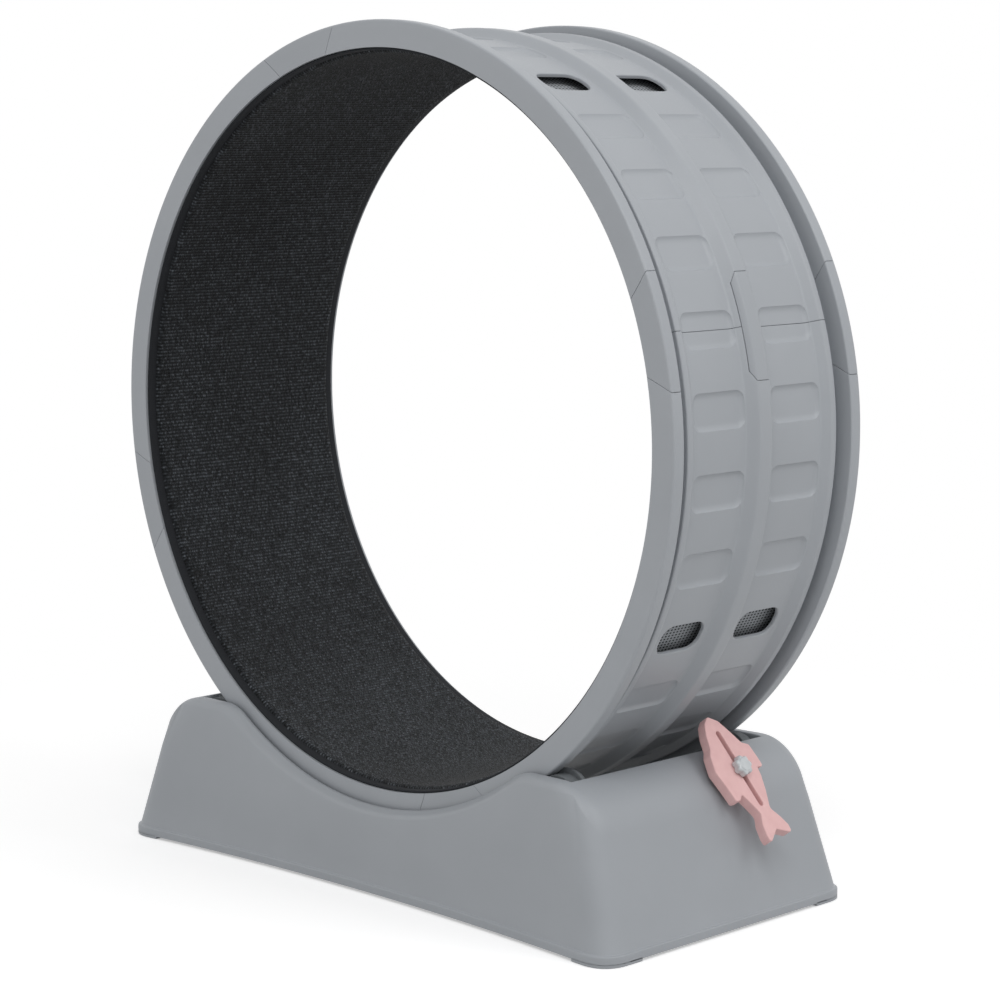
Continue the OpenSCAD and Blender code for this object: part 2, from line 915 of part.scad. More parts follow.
drum_segment(1);  // drum_segment_1
drum_segment(2);  // drum_segment_2
drum_segment(3);  // drum_segment_3
drum_segment(4);  // drum_segment_4
front_connector(1);  // front_connector_1
front_connector(2);  // front_connector_2
front_connector(3);  // front_connector_3
front_connector(4);  // front_connector_4
centre_connector(1);  // centre_connector_1
centre_connector(2);  // centre_connector_2
centre_connector(3);  // centre_connector_3
centre_connector(4);  // centre_connector_4
rear_connector(1);  // rear_connector_1
rear_connector(2);  // rear_connector_2
rear_connector(3);  // rear_connector_3
rear_connector(4);  // rear_connector_4
connector_screws();
running_mat();
front_mat_binding();
rear_mat_binding();
base_shell();
foot_pad(1);  // foot_pad_1
foot_pad(2);  // foot_pad_2
foot_pad(3);  // foot_pad_3
foot_pad(4);  // foot_pad_4
axle(-1);  // axle_left
axle(1);  // axle_right
axle_clips(-1);  // axle_clips_left
axle_clips(1);  // axle_clips_right
roller_hub(1);  // roller_hub_1
roller_hub(2);  // roller_hub_2
roller_hub(3);  // roller_hub_3
roller_hub(4);  // roller_hub_4
roller_tyre(1);  // roller_tyre_1
roller_tyre(2);  // roller_tyre_2
roller_tyre(3);  // roller_tyre_3
roller_tyre(4);  // roller_tyre_4
roller_bearings(1);  // roller_bearings_1
roller_bearings(2);  // roller_bearings_2
roller_bearings(3);  // roller_bearings_3
roller_bearings(4);  // roller_bearings_4
brake_nut();
brake_spacer();
brake_fish();
brake_washer();
brake_stud();
star_knob();
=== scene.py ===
# %% [markdown]
# A cat exercise wheel stands on a moulded base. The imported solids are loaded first, because every
# piece below is made in their frame and rides on one of their bodies. Lengths are in millimetres
# and become metres when a mesh is filled.

# %% Load the frame
import json
import bpy
import bmesh
import numpy as np
from mathutils import Matrix, Vector
from mathutils.geometry import tessellate_polygon


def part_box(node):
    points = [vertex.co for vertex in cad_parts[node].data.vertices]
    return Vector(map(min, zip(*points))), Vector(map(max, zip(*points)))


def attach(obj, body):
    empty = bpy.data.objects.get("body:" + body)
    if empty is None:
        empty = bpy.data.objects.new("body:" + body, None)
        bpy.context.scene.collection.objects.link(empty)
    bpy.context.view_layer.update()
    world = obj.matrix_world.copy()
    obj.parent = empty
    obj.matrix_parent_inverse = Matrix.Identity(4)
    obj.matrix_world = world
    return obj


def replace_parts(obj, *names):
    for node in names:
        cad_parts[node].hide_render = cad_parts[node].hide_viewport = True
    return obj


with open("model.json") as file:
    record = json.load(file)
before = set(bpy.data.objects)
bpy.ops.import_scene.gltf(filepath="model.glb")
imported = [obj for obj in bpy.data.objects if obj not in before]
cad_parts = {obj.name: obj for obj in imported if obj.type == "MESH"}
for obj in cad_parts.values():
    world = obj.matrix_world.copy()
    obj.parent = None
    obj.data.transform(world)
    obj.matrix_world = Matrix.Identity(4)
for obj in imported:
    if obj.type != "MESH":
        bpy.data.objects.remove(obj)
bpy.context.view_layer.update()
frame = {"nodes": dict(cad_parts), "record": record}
MM = 0.001

# %% [markdown]
# The view has a long lens, a little above the axle and 45 degrees from the open face. Lens, place
# and aim come from lining up the rims of the drum.

# %% Camera
def in_scene(name, data):
    """A new object of the scene that shows this data."""
    made = bpy.data.objects.new(name, data)
    bpy.context.scene.collection.objects.link(made)
    return made


turn, rise = np.radians(45.15), np.radians(7.75)
back = Vector((np.sin(turn) * np.cos(rise), -np.cos(turn) * np.cos(rise), np.sin(rise)))
camera_data = bpy.data.cameras.new("camera")
camera_data.sensor_width = 36.0
camera_data.lens = 2756.0 / 1000.0 * 36.0
camera_data.clip_end = 60.0
camera = in_scene("camera", camera_data)
camera.location = (2.2876, -2.2297, 0.8712)
camera.rotation_euler = back.to_track_quat("Z", "Y").to_euler()
bpy.context.scene.camera = camera
print("camera", tuple(round(v, 3) for v in camera.location), "lens", round(camera_data.lens, 1))

# %% [markdown]
# One helper turns a written sRGB colour into linear light, one adds a node with its values and
# links, and the others build what several materials share.

# %% Helpers for materials
def linear(text):
    """sRGB hex to linear light: c / 12.92 below 0.04045, otherwise ((c + 0.055) / 1.055) ** 2.4."""
    c = np.array(list(bytes.fromhex(text[1:]))) / 255.0
    c = np.where(c <= 0.04045, c / 12.92, ((c + 0.055) / 1.055) ** 2.4)
    return (*c.tolist(), 1.0)


def add(tree, kind, values=None, links=None, **props):
    """Adds one shader node, sets its properties and sockets, and joins the outputs in links."""
    made = tree.nodes.new("ShaderNode" + kind)
    for name, value in props.items():
        setattr(made, name, value)
    for name, value in (values or {}).items():
        made.inputs[name].default_value = value
    for name, (source, out) in (links or {}).items():
        tree.links.new(source.outputs[out], made.inputs[name])
    return made


def start(name):
    """A new material that holds nothing but its output."""
    material = bpy.data.materials.new(name)
    material.use_nodes = True
    tree = material.node_tree
    tree.nodes.clear()
    return material, tree, add(tree, "OutputMaterial")


def combine(tree, operation, one, other):
    """A math node over two outputs."""
    return add(tree, "Math", links={0: one, 1: other}, operation=operation)


def tints(tree, source, stops):
    """A colour ramp over one output, given as places with their sRGB hex."""
    ramp = add(tree, "ValToRGB", links={"Fac": source})
    elements = ramp.color_ramp.elements
    for k, (place, tint) in enumerate(stops):
        end = {0: 0, len(stops) - 1: -1}.get(k)
        spot = elements.new(place) if end is None else elements[end]
        spot.position, spot.color = place, linear(tint)
    return ramp


def speckled(tree, tone_mm, softness, grain_mm, pale, deep):
    """Coordinates, a fine noise, and a wide noise turned into tints between two colours."""
    where = add(tree, "TexCoord")
    tone = add(tree, "TexNoise", {"Scale": 1 / (tone_mm * MM), "Detail": 3.0, "Roughness": softness},
               {"Vector": (where, "Object")})
    fleck = add(tree, "TexNoise", {"Scale": 1 / (grain_mm * MM), "Detail": 2.0},
                {"Vector": (where, "Object")})
    return where, fleck, tints(tree, (tone, "Fac"), ((0.3, deep), (0.7, pale)))


def surface(tree, out, tint, relief, values, dull=None):
    """Joins a principled shader with its tint, relief, values and dullness to the output."""
    links = {"Base Color": (tint, "Color"), "Normal": (relief, "Normal")}
    if dull:
        links["Roughness"] = (dull, "Result")
    body = add(tree, "BsdfPrincipled", values, links)
    tree.links.new(body.outputs["BSDF"], out.inputs["Surface"])


print("material helpers ready")

# %% [markdown]
# Drum, connectors and base are moulded in polypropylene with a satin finish. Three noises give
# the fine grain of the tool, the slight sinking of wide faces as they cool and a faint change of
# tone. Real grain is 0.1 mm, too fine for the picture, and is drawn at 1.6 mm.

# %% Moulded polypropylene
def moulded(name, pale, deep, rough, sink_mm=70.0, sink=0.35):
    """A fine grain over wide sinks; the gloss follows the grain."""
    material, tree, out = start(name)
    where, fleck, ramp = speckled(tree, 120, 0.55, 1.6, pale, deep)
    dent = add(tree, "TexNoise", {"Scale": 1 / (sink_mm * MM), "Detail": 1.0},
               {"Vector": (where, "Object")})
    dull = add(tree, "MapRange", {"From Min": 0.3, "From Max": 0.7, "To Min": rough - 0.05,
               "To Max": rough + 0.07}, {"Value": (fleck, "Fac")})
    wide = add(tree, "Bump", {"Strength": sink, "Distance": 0.0012}, {"Height": (dent, "Fac")})
    fine = add(tree, "Bump", {"Strength": 0.05, "Distance": 0.0004},
               {"Height": (fleck, "Fac"), "Normal": (wide, "Normal")})
    surface(tree, out, ramp, fine, {"IOR": 1.49}, dull)
    return material


drum_skin = moulded("pale_polypropylene_moulded", "#a7abb0", "#a3a7ac", 0.42)
cap_skin = moulded("pale_polypropylene_connector", "#a5a9ae", "#a1a5aa", 0.44)
base_skin = moulded("grey_polypropylene_moulded", "#a4a8ad", "#a0a4a9", 0.46, sink_mm=110.0)
core_skin = moulded("grey_nylon_roller_core", "#7a7d80", "#6d7073", 0.5, sink=0.1)
print("plastics", drum_skin.name, cap_skin.name, base_skin.name, core_skin.name)

# %% [markdown]
# The mat is a loop-pile carpet. Its loops stand in rows across the track, one row each 4.2 mm,
# and each loop is a charcoal yarn with a few paler fibres. The rows are real ridges in the mesh.
# On the mat's own UV map, in metres along and across the track, bands follow the rows and a cell
# pattern draws the loops along each row. Both also paint shade: the furrows between rows and the
# gaps between loops are coloured darker. The woven cloths are two sets of bands that cross.

# %% Loop pile, its backing and its binding
ROW, LOOP = 4.2, 2.5
ONE_BAND = np.pi / 10


def bands(tree, stretch, distortion, way):
    """Waves with one band for each unit of the map."""
    return add(tree, "TexWave", {"Scale": ONE_BAND, "Distortion": distortion, "Detail": 1.0},
               {"Vector": (stretch, "Vector")}, bands_direction=way)


def track_map(tree, along_mm, across_mm):
    """The unrolled map in units of this many millimetres along and across the track."""
    uv = add(tree, "UVMap", uv_map="track")
    return add(tree, "Mapping", {"Scale": (1000 / along_mm, 1000 / across_mm, 1.0)},
               {"Vector": (uv, "UV")})


def loop_pile(name):
    """Level = 0.28 pick + fuzz - 0.55 distance + wide shade + row swell; it drives tint and bump.
    The wide shade is a random tone; the distance and the row swell are painted shade, darker in
    the gaps between loops and in the furrows between rows.
    """
    material, tree, out = start(name)
    stretch = track_map(tree, ROW, LOOP)
    loops = add(tree, "TexVoronoi", {"Scale": 1.0, "Randomness": 0.75}, {"Vector": (stretch, "Vector")})
    fuzz = add(tree, "TexNoise", {"Scale": 1.6, "Detail": 3.0, "Roughness": 0.7},
               {"Vector": (stretch, "Vector")})
    wide = add(tree, "TexNoise", {"Scale": 0.02, "Detail": 2.0}, {"Vector": (stretch, "Vector")})
    grey = add(tree, "SeparateColor", links={"Color": (loops, "Color")})
    pick = add(tree, "Math", {1: 0.28}, {0: (grey, "Red")}, operation="MULTIPLY")
    # painted shade: darker towards the edge of each loop cell, in the gaps between loops
    near = add(tree, "Math", {1: 0.55}, {0: (loops, "Distance")}, operation="MULTIPLY")
    shade = add(tree, "Math", {1: 0.24, 2: -0.12}, {0: (wide, "Fac")}, operation="MULTIPLY_ADD")
    # painted shade: the row bands darken the furrows between rows, besides raising the rows in the bump
    rows = bands(tree, stretch, 0.5, "X")
    row_swell_shade = add(tree, "Math", {1: 0.3, 2: -0.09}, {0: (rows, "Fac")}, operation="MULTIPLY_ADD")
    bright = combine(tree, "SUBTRACT", (combine(tree, "ADD", (pick, 0), (fuzz, "Fac")), 0), (near, 0))
    level = combine(tree, "ADD", (combine(tree, "ADD", (bright, 0), (shade, 0)), 0), (row_swell_shade, 0))
    ramp = tints(tree, (level, 0), ((0.15, "#0b0c0e"), (0.45, "#25282b"), (0.7, "#474b50"), (0.9, "#6c7177")))
    bump = add(tree, "Bump", {"Strength": 0.9, "Distance": 0.0015}, {"Height": (level, 0)})
    surface(tree, out, ramp, bump,
            {"Roughness": 0.95, "Sheen Weight": 0.15, "IOR": 1.5, "Specular IOR Level": 0.2})
    return material


def woven(name, thread, hole, across_mm, along_mm, rough):
    """Threads that cross each other: the product of two sine bands on the unrolled map."""
    material, tree, out = start(name)
    stretch = track_map(tree, along_mm, across_mm)
    both = combine(tree, "MULTIPLY", *[(bands(tree, stretch, 0.4, way), "Fac") for way in "XY"])
    ramp = tints(tree, (both, 0), ((0.25, thread), (0.6, hole)))
    bump = add(tree, "Bump", {"Strength": 0.5, "Distance": -0.0006}, {"Height": (both, 0)})
    surface(tree, out, ramp, bump, {"Roughness": rough, "Specular IOR Level": 0.25})
    return material


pile = loop_pile("charcoal_loop_pile")
scrim = woven("grey_woven_scrim", "#a5a9ad", "#15171a", 5.5, 3.8, 0.8)
tape = woven("black_woven_tape", "#26282c", "#1a1c1f", 2.2, 2.2, 0.75)
print("cloths", pile.name, scrim.name, tape.name)

# %% [markdown]
# Small steel parts are zinc plated and faintly mottled. The brake is a matt pink moulding, the
# knob a glossy grey one, and the roller treads and foot pads are rubber.

# %% Steel, pink moulding, knob and rubber
def simple(name, pale, deep, rough, metal=0.0, grain=0.05, coat=0.0):
    """A tone noise between two colours and a fine bump, for parts smaller than a hand."""
    material, tree, out = start(name)
    _, fleck, ramp = speckled(tree, 12, 0.5, 1.0, pale, deep)
    dull = add(tree, "MapRange", {"To Min": rough - 0.05, "To Max": rough + 0.05},
               {"Value": (fleck, "Fac")})
    bump = add(tree, "Bump", {"Strength": grain, "Distance": 0.0003}, {"Height": (fleck, "Fac")})
    values = {"Metallic": metal, "Coat Weight": coat, "Coat Roughness": 0.12}
    if not metal:
        values["IOR"] = 1.5
    surface(tree, out, ramp, bump, values, dull)
    return material


zinc = simple("zinc_plated_steel", "#b9bcc0", "#9da1a6", 0.32, metal=1.0)
chrome_steel = simple("ground_bearing_steel", "#c9ccd0", "#b4b8bc", 0.2, metal=1.0)
pink = simple("pink_matt_moulding", "#ecc1bf", "#e6b9b8", 0.62, grain=0.12)
gloss_grey = simple("grey_gloss_knob", "#ced2d4", "#bcc1c4", 0.22, coat=0.8)
tread_rubber = simple("grey_rubber_tread", "#6c7073", "#5e6265", 0.7, grain=0.2)
pad_rubber = simple("black_rubber_pad", "#2a2b2c", "#202122", 0.75, grain=0.2)
spacer_plastic = simple("grey_acetal_spacer", "#8d9093", "#83868a", 0.4)
print("small parts", zinc.name, pink.name, gloss_grey.name, tread_rubber.name)

# %% [markdown]
# Every new piece is a grid of points, worked out as whole arrays. This cell turns grids into
# closed meshes: one helper joins a single grid, round one way or both ways, and one makes a thick
# skin from an outer and an inner grid with walls where cells are left out.

# %% From grids to meshes
def finish_mesh(name, verts, faces, materials, body, slot, sharp=38.0, weld=0.0, uv=None):
    """Fills a mesh with metres, smooths it, keeps edges sharper than the angle, and rides it."""
    mesh = bpy.data.meshes.new(name)
    mesh.from_pydata((np.asarray(verts) * MM).tolist(), [], [tuple(int(i) for i in f) for f in faces])
    if uv is not None:
        layer = mesh.uv_layers.new(name="track")
        index = np.zeros(len(mesh.loops), dtype=np.int32)
        mesh.loops.foreach_get("vertex_index", index)
        layer.data.foreach_set("uv", (np.asarray(uv)[index] * MM).astype(np.float32).ravel())
    if weld:
        bm = bmesh.new()
        bm.from_mesh(mesh)
        bmesh.ops.remove_doubles(bm, verts=bm.verts, dist=weld * MM)
        bm.to_mesh(mesh)
        bm.free()
    mesh.polygons.foreach_set("use_smooth", np.ones(len(mesh.polygons), dtype=bool))
    mesh.set_sharp_from_angle(angle=np.radians(sharp))
    for material in materials:
        mesh.materials.append(material)
    piece = in_scene(name, mesh)
    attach(piece, body)
    return piece


def unit(v):
    """The same directions with a length of one."""
    return v / np.linalg.norm(v, axis=-1, keepdims=True)


def wall(a, b, count, flip):
    """Quads from edges of the outer points to the same edges of the inner points."""
    faces = np.stack([a, b, b + count, a + count], -1)
    return faces[:, ::-1] if flip else faces


def quads(nu, nv, wrap_u=False, wrap_v=False, base=0):
    """Corner numbers of each cell of an nu by nv grid, wrapping round where asked."""
    i, j = np.mgrid[:nu - (not wrap_u), :nv - (not wrap_v)]
    up, over = (i + 1) % nu, (j + 1) % nv
    return base + np.stack([i * nv + j, up * nv + j, up * nv + over, i * nv + over], -1).reshape(-1, 4)


def thick_skin(outer, inner, keep):
    """Outer cells, inner cells turned over, and a wall along each border of the kept cells.
    A border is where keep differs between two neighbour cells; its wall joins both skins."""
    nu, nv = outer.shape[:2]
    cells = quads(nu, nv).reshape(nu - 1, nv - 1, 4)
    count = nu * nv
    faces = [cells[keep], (cells[keep] + count)[:, ::-1]]
    wide = np.zeros((nu + 1, nv + 1), dtype=bool)
    wide[1:-1, 1:-1] = keep
    number = np.arange(count).reshape(nu, nv)
    for here, left, du, dv in ((wide[1:, 1:-1], wide[:-1, 1:-1], 0, 1), (wide[1:-1, 1:], wide[1:-1, :-1], 1, 0)):
        for mask, flip in ((here & ~left, du == 1), (left & ~here, du == 0)):
            i, j = np.nonzero(mask)
            faces.append(wall(number[i, j], number[i + du, j + dv], count, flip))
    faces = np.concatenate(faces)
    verts = np.concatenate([outer.reshape(-1, 3), inner.reshape(-1, 3)])
    used, faces = np.unique(faces, return_inverse=True)
    return verts[used], faces.reshape(-1, 4)


def rounded(points, radii, steps=17):
    """A polyline with each inner corner replaced by an arc; also the row of each arc's middle."""
    points = np.asarray(points, float)
    line, middles = [points[:1]], []
    for k in range(1, len(points) - 1):
        a, b, c, r = points[k - 1], points[k], points[k + 1], radii[k]
        u, v = unit(a - b), unit(c - b)
        half = np.arccos(np.clip(u @ v, -1, 1)) / 2
        centre = b + unit(u + v) * r / np.sin(half)
        p, q = b + u * r / np.tan(half) - centre, b + v * r / np.tan(half) - centre
        angle, w = np.pi - 2 * half, np.linspace(0, 1, steps)[:, None]
        middles.append(sum(map(len, line)) + steps // 2)
        line.append(centre + (np.sin((1 - w) * angle) * p + np.sin(w * angle) * q) / np.sin(angle))
    line.append(points[-1:])
    return np.concatenate(line), middles


print("mesh helpers ready")

# %% [markdown]
# The drum is blow moulded in four equal quarters with a corrugated wall: a wide land at each
# rim that runs on the rollers, a valley, a bead, a flat panel and a raised rib in the middle.
# The section is drawn once as a line of radius against width, with the soft corners that a
# moulding has, and carried round the axle. Pockets, slots and seams need no cutting this way: on
# a grid they are part of the height of the surface.

# %% Section of the drum
AXLE, LAND_R, RIB_R, PANEL_R, VALLEY_R, BORE_R = 537.0, 450.0, 444.0, 433.0, 423.5, 419.5
RIB_Y, RIB_FOOT_Y, PANEL_END, VALLEY_Y, RIM_Y = 9.5, 20.5, 104.0, 122.0, 137.0
corners = [(RIB_R, 0), (RIB_R, RIB_Y), (PANEL_R, RIB_FOOT_Y), (PANEL_R, PANEL_END), (441, 113.5),
           (441, VALLEY_Y), (VALLEY_R, VALLEY_Y), (VALLEY_R, RIM_Y), (LAND_R, RIM_Y), (LAND_R, 153), (BORE_R, 153)]
corner_radii = [0, 5, 5, 4.5, 4, 2, 2, 2, 2.2, 2.6, 0]
half_line, mids = rounded(corners, corner_radii)
half_run = np.r_[0, np.cumsum(np.linalg.norm(np.diff(half_line, axis=0), axis=1))]
rib_top, rib_foot, bead_foot, bead_top, bead_edge, valley_in, rim_foot, rim_edge, face_edge = half_run[mids]
rib_seam = 0.5 * (rib_top + rib_foot)


def on_half(run):
    """Radius and width of the half section at a run."""
    return np.array([np.interp(run, half_run, values) for values in half_line.T])


def section(run):
    """Radius, width and outward normal of the section at a signed run from the middle."""
    away = np.abs(run)
    r, y = on_half(away)
    dr, dy = on_half(np.minimum(away + 0.05, half_run[-1])) - on_half(np.maximum(away - 0.05, 0))
    size = np.hypot(dr, dy)
    side = np.where(run < 0, -1.0, 1.0)
    return r, y * side, dy / size, -dr / size * side


def at_width(y):
    """Run of a place between rib and bead crest, where the width grows along the section."""
    stop = mids[4]
    return np.interp(y, half_line[:stop, 1], half_run[:stop])


print("section", round(2 * half_run[-1], 1), "mm from lip to lip")

# %% [markdown]
# Grid lines run across the drum wherever its shape changes: beside the joint, at the ends of the
# connectors and round each pocket. Eight places fill a quarter. The one on a joint is shared with
# the next quarter, and the one in the middle is a slot through the wall.

# %% Grid lines of one quarter
PITCH, SEAM, GAP = np.radians(11.25) * PANEL_R, np.radians(6.364) * PANEL_R, 0.2
PANEL_Y, POCKET_LONG, POCKET_HIGH, SLOT_LONG, SLOT_HIGH = 62.25, 41.25, 20.2, 33.25, 18.4
SLOT_PLACE, PLACES, LAST_LINE, CLOSE = 4, 8, 0.72 * PITCH, 1e-6
edge_steps = np.array([0.15, 0.4, 0.8])
pocket_lines = np.array([8.2, 12.2, 14.0, 15.8, 17.4, 18.6, 19.4, 19.9, POCKET_HIGH, 20.55, 21.2, 23.4])
slot_lines = np.array([0, 3.4, 6, 9, 12, 15, SLOT_HIGH, 18.5, 18.8, 19.3, 19.9, 24])

near_joint = np.r_[GAP, GAP + edge_steps, 3.5, pocket_lines, 31, 39]
seam_off = np.r_[-GAP - edge_steps[::-1], -GAP, GAP, GAP + edge_steps]
bases, offs = [near_joint, np.full(len(seam_off), SEAM)], [0 * near_joint, seam_off]
for k in range(1, PLACES):
    lines = slot_lines if k == SLOT_PLACE else pocket_lines
    bases.append(np.unique(np.r_[-lines, lines, 0]) + k * PITCH)
    if k < PLACES - 1:
        bases.append(np.array([k + 0.36, k + 0.5, k + 0.64]) * PITCH)
bases.append(np.array([LAST_LINE]))
offs += [0 * lines for lines in bases[2:]]
half_base, half_off = np.concatenate(bases), np.concatenate(offs)
order = np.argsort(half_base + half_off)
half_base, half_off = half_base[order], half_off[order]
end_lines = half_base < LAST_LINE + CLOSE
quarter_base = np.r_[half_base, (PLACES * PITCH - half_base[end_lines])[::-1]]
quarter_off = np.r_[half_off, -half_off[end_lines][::-1]]

pocket_run = POCKET_LONG - np.r_[0, 0.3, 0.8, 1.6, 2.8, 4.4, 6.2, 7.3, 7.7, 8, 8.7, 10.5, 13, 17, 23, 32, POCKET_LONG]
panel_y = np.unique(np.round(np.r_[PANEL_Y - pocket_run, PANEL_Y + pocket_run], 4))
run_lines = np.r_[
    0, 0.5 * rib_top,
    rib_top + np.r_[-2.1, -1.05, 0, 1.05, 2.1], rib_seam + np.r_[-0.7, -0.4, -GAP, GAP, 0.35, 0.8],
    rib_foot + np.r_[-2.1, -1.05, 0], at_width(panel_y),
    at_width(103.62), bead_foot + np.r_[0, 0.7, 1.8], 0.5 * (bead_foot + bead_top),
    bead_top + np.r_[-1.5, -0.7, 0, 0.7, 1.5], bead_edge + np.r_[-1.6, -1.05, -0.5, 0, 0.5, 1.05, 1.6],
    valley_in + np.r_[-1.6, -0.8, 0, 0.8, 1.6], 0.5 * (valley_in + rim_foot),
    rim_foot + np.r_[-1.6, -1.2, -0.7, -0.4, -GAP, GAP, 0.4, 0.7, 1.2, 1.6],
    0.5 * (rim_foot + rim_edge), rim_edge + np.r_[-1.75, -1.15, -0.6, 0, 0.6, 1.15, 1.75],
    0.5 * (rim_edge + face_edge), face_edge + np.r_[-2.05, -1.4, -0.7, 0, 0.7, 1.4, 2.05],
    face_edge + 12, half_run[-1] - 8, half_run[-1]]
run_lines = np.unique(np.round(run_lines, 4))
all_runs = np.r_[-run_lines[:0:-1], run_lines]
print("grid", len(quarter_base), "x", len(all_runs), "lines")

# %% [markdown]
# A connector covers each joint on both rims and on the rib. On the rim it spans 8.1 degrees to
# each side on the land and 5.6 degrees at the inner edge of the face; on the rib it spans 59 mm
# on the land and 48 mm half-way down the slope. The grid is bent so that one of its lines follows
# these seams, and square rings of it are pressed into the round corners of the pockets.

# %% Surface of the drum
def seam_angle(r, y):
    """Angle of the connector's end at each place of the section, linear between its corners."""
    away = np.abs(y)
    rib = np.interp(away, [RIB_Y, 14.7, RIB_FOOT_Y],
                    [np.arcsin(59 / RIB_R), np.arcsin(48 / 438.8), SEAM / PANEL_R])
    rim = np.radians(np.interp(r, [BORE_R, LAND_R], [5.6, 8.1]))
    low = np.radians(5.6 + 2.5 * (VALLEY_R - BORE_R) / (LAND_R - BORE_R))
    valley = np.interp(away, [VALLEY_Y, RIM_Y], [SEAM / PANEL_R, low])
    return np.where(away >= RIM_Y, rim, np.where(away > PANEL_END, valley, rib))


def drop(depth, radius):
    """How far a rounded edge lies under its face: R - sqrt(R * R - (R - d) ** 2) within R."""
    rest = np.clip(radius - depth, 0, radius)
    return radius - np.sqrt(radius * radius - rest * rest)


def bent_angle(base, off, r, y):
    """Maps a place along the quarter to an angle so that the line at SEAM follows the seams."""
    far = PLACES * PITCH
    mirror = base > far / 2
    place = np.where(mirror, far - base, base)
    target = seam_angle(r, y) * PANEL_R
    inner = place * target / SEAM
    outer = target + (place - SEAM) * (PITCH - target) / (PITCH - SEAM)
    place = np.where(place <= SEAM, inner, np.where(place < PITCH, outer, place))
    return (np.where(mirror, far - place, place) + off) / PANEL_R


WALL, ARRIS, SCOOP, SCOOP_RUN, SLOT_EDGE, SLOT_FLOOR_R = 3.5, 0.55, 3.0, 8.0, 1.2, 429.0


def round_axle(r, y, angle):
    """Points at a radius, width and angle from the axle, with the width along -Y."""
    return np.stack([r * np.cos(angle), -y, r * np.sin(angle)], -1)


def drum_grid(base, off, runs, arris):
    """Outer and inner points of the drum over joint-wise places and section runs.
    Point = axle + r (cos t, sin t) with the width along -Y; pockets lower r by
    3 * (1 - (1 - d / 8) ** 2.6) at a depth d inside their outline, and edges drop by an arc."""
    r, y, nr, ny = (np.broadcast_to(v, (len(base), len(runs))).copy() for v in section(runs))
    base, off = base[:, None] + 0 * r, off[:, None] + 0 * r
    k = np.round(base / PITCH)
    b, side = base - k * PITCH, np.where(y < 0, -1.0, 1.0)
    a = np.abs(y) - PANEL_Y
    wide = np.abs(a)
    panel = wide <= POCKET_LONG + 0.25
    slot = panel & (k == SLOT_PLACE)
    long_half, high_half = np.where(slot, SLOT_LONG, POCKET_LONG), np.where(slot, SLOT_HIGH, POCKET_HIGH)
    ring = np.where(slot, 15.0, 12.0)
    inside = np.minimum(long_half - wide, high_half - np.abs(b))
    p, q = wide - (long_half - ring), np.abs(b) - (high_half - ring)
    corner = panel & (p > 0) & (q > 0)
    p1, q1 = np.where(corner, p, 1.0), np.where(corner, q, 1.0)
    loose = np.clip(np.maximum((p1 - ring) / np.where(slot, 8.0, 0.25), (q1 - ring) / 7.0), 0, 1)
    factor = np.maximum(p1, q1) / np.hypot(p1, q1)
    factor = factor + (1 - factor) * loose
    new_a = np.where(corner, long_half - ring + p1 * factor, wide) * np.sign(a)
    new_b = np.where(corner, high_half - ring + q1 * factor, np.abs(b)) * np.sign(b)
    y = np.where(panel, side * (new_a + PANEL_Y), y)
    angle = np.where(panel, (k * PITCH + new_b + off) / PANEL_R, bent_angle(base, off, r, y))
    scoop = SCOOP * (1 - (1 - np.clip(inside, 0, SCOOP_RUN) / SCOOP_RUN) ** 2.6)
    sunk = np.where(panel & (k != SLOT_PLACE), scoop, 0) + np.where(slot, drop(-inside, SLOT_EDGE), 0)
    sunk = np.where(slot & (inside > 0), SLOT_EDGE, sunk) + arris
    inner_r = np.where(slot, SLOT_FLOOR_R, np.maximum(r - sunk * nr - WALL * nr, BORE_R))
    outer = round_axle(r - sunk * nr, y - arris * ny, angle)
    return outer, round_axle(inner_r, y - WALL * ny, angle), slot & (inside > -CLOSE)


def to_wheel(points, joint):
    """Turns points by the joint's angle about the axle and lifts them to its height."""
    t = np.radians(16.55 + 90 * joint)
    return np.stack([points[..., 0] * np.cos(t) - points[..., 2] * np.sin(t), points[..., 1],
                     points[..., 0] * np.sin(t) + points[..., 2] * np.cos(t) + AXLE], -1)


def drum_quarter(number):
    """One quarter with slots, joint edges and the notches that its connectors fill."""
    base, off, runs = quarter_base, quarter_off, all_runs
    far_half = base > SLOT_PLACE * PITCH
    place = (np.where(far_half, PLACES * PITCH - base, base) + np.where(far_half, -off, off))[:, None]
    away = np.abs(runs)[None, :]
    under_cap = (away > rim_foot - GAP - CLOSE) | (away < rib_seam + GAP + CLOSE)
    end = drop(place - GAP, ARRIS)
    beside = drop(place - SEAM - GAP, ARRIS) * under_cap * (place > SEAM)
    row = np.minimum(np.abs(away - rim_foot) - GAP, 99) * (away < rim_foot) + 99 * (away >= rim_foot)
    rib = np.where(away > rib_seam, away - rib_seam - GAP, 99)
    along = drop(np.clip(np.minimum(row, rib), 0, 99), ARRIS) * (place < SEAM + GAP + CLOSE)
    arris = np.maximum(np.maximum(end * ~under_cap, beside), along)
    outer, inner, hole = drum_grid(base, off, runs, arris)
    cut = hole[:-1, :-1] & hole[1:, :-1] & hole[:-1, 1:] & hole[1:, 1:]
    u_out = np.maximum(place[:-1], place[1:])
    s_low, s_high = np.minimum(away[:, :-1], away[:, 1:]), np.maximum(away[:, :-1], away[:, 1:])
    rim_notch = s_low > rim_foot - GAP - CLOSE
    rib_notch = s_high < rib_seam + GAP + CLOSE
    notch = (u_out < SEAM + GAP + CLOSE) & (rim_notch | rib_notch)
    verts, faces = thick_skin(to_wheel(outer, number), to_wheel(inner, number), ~cut & ~notch)
    piece = finish_mesh("drum_quarter_%d" % (number + 1), verts, faces, [drum_skin], "wheel", "drum")
    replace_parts(piece, "drum_segment_%d" % (number + 1))
    return piece


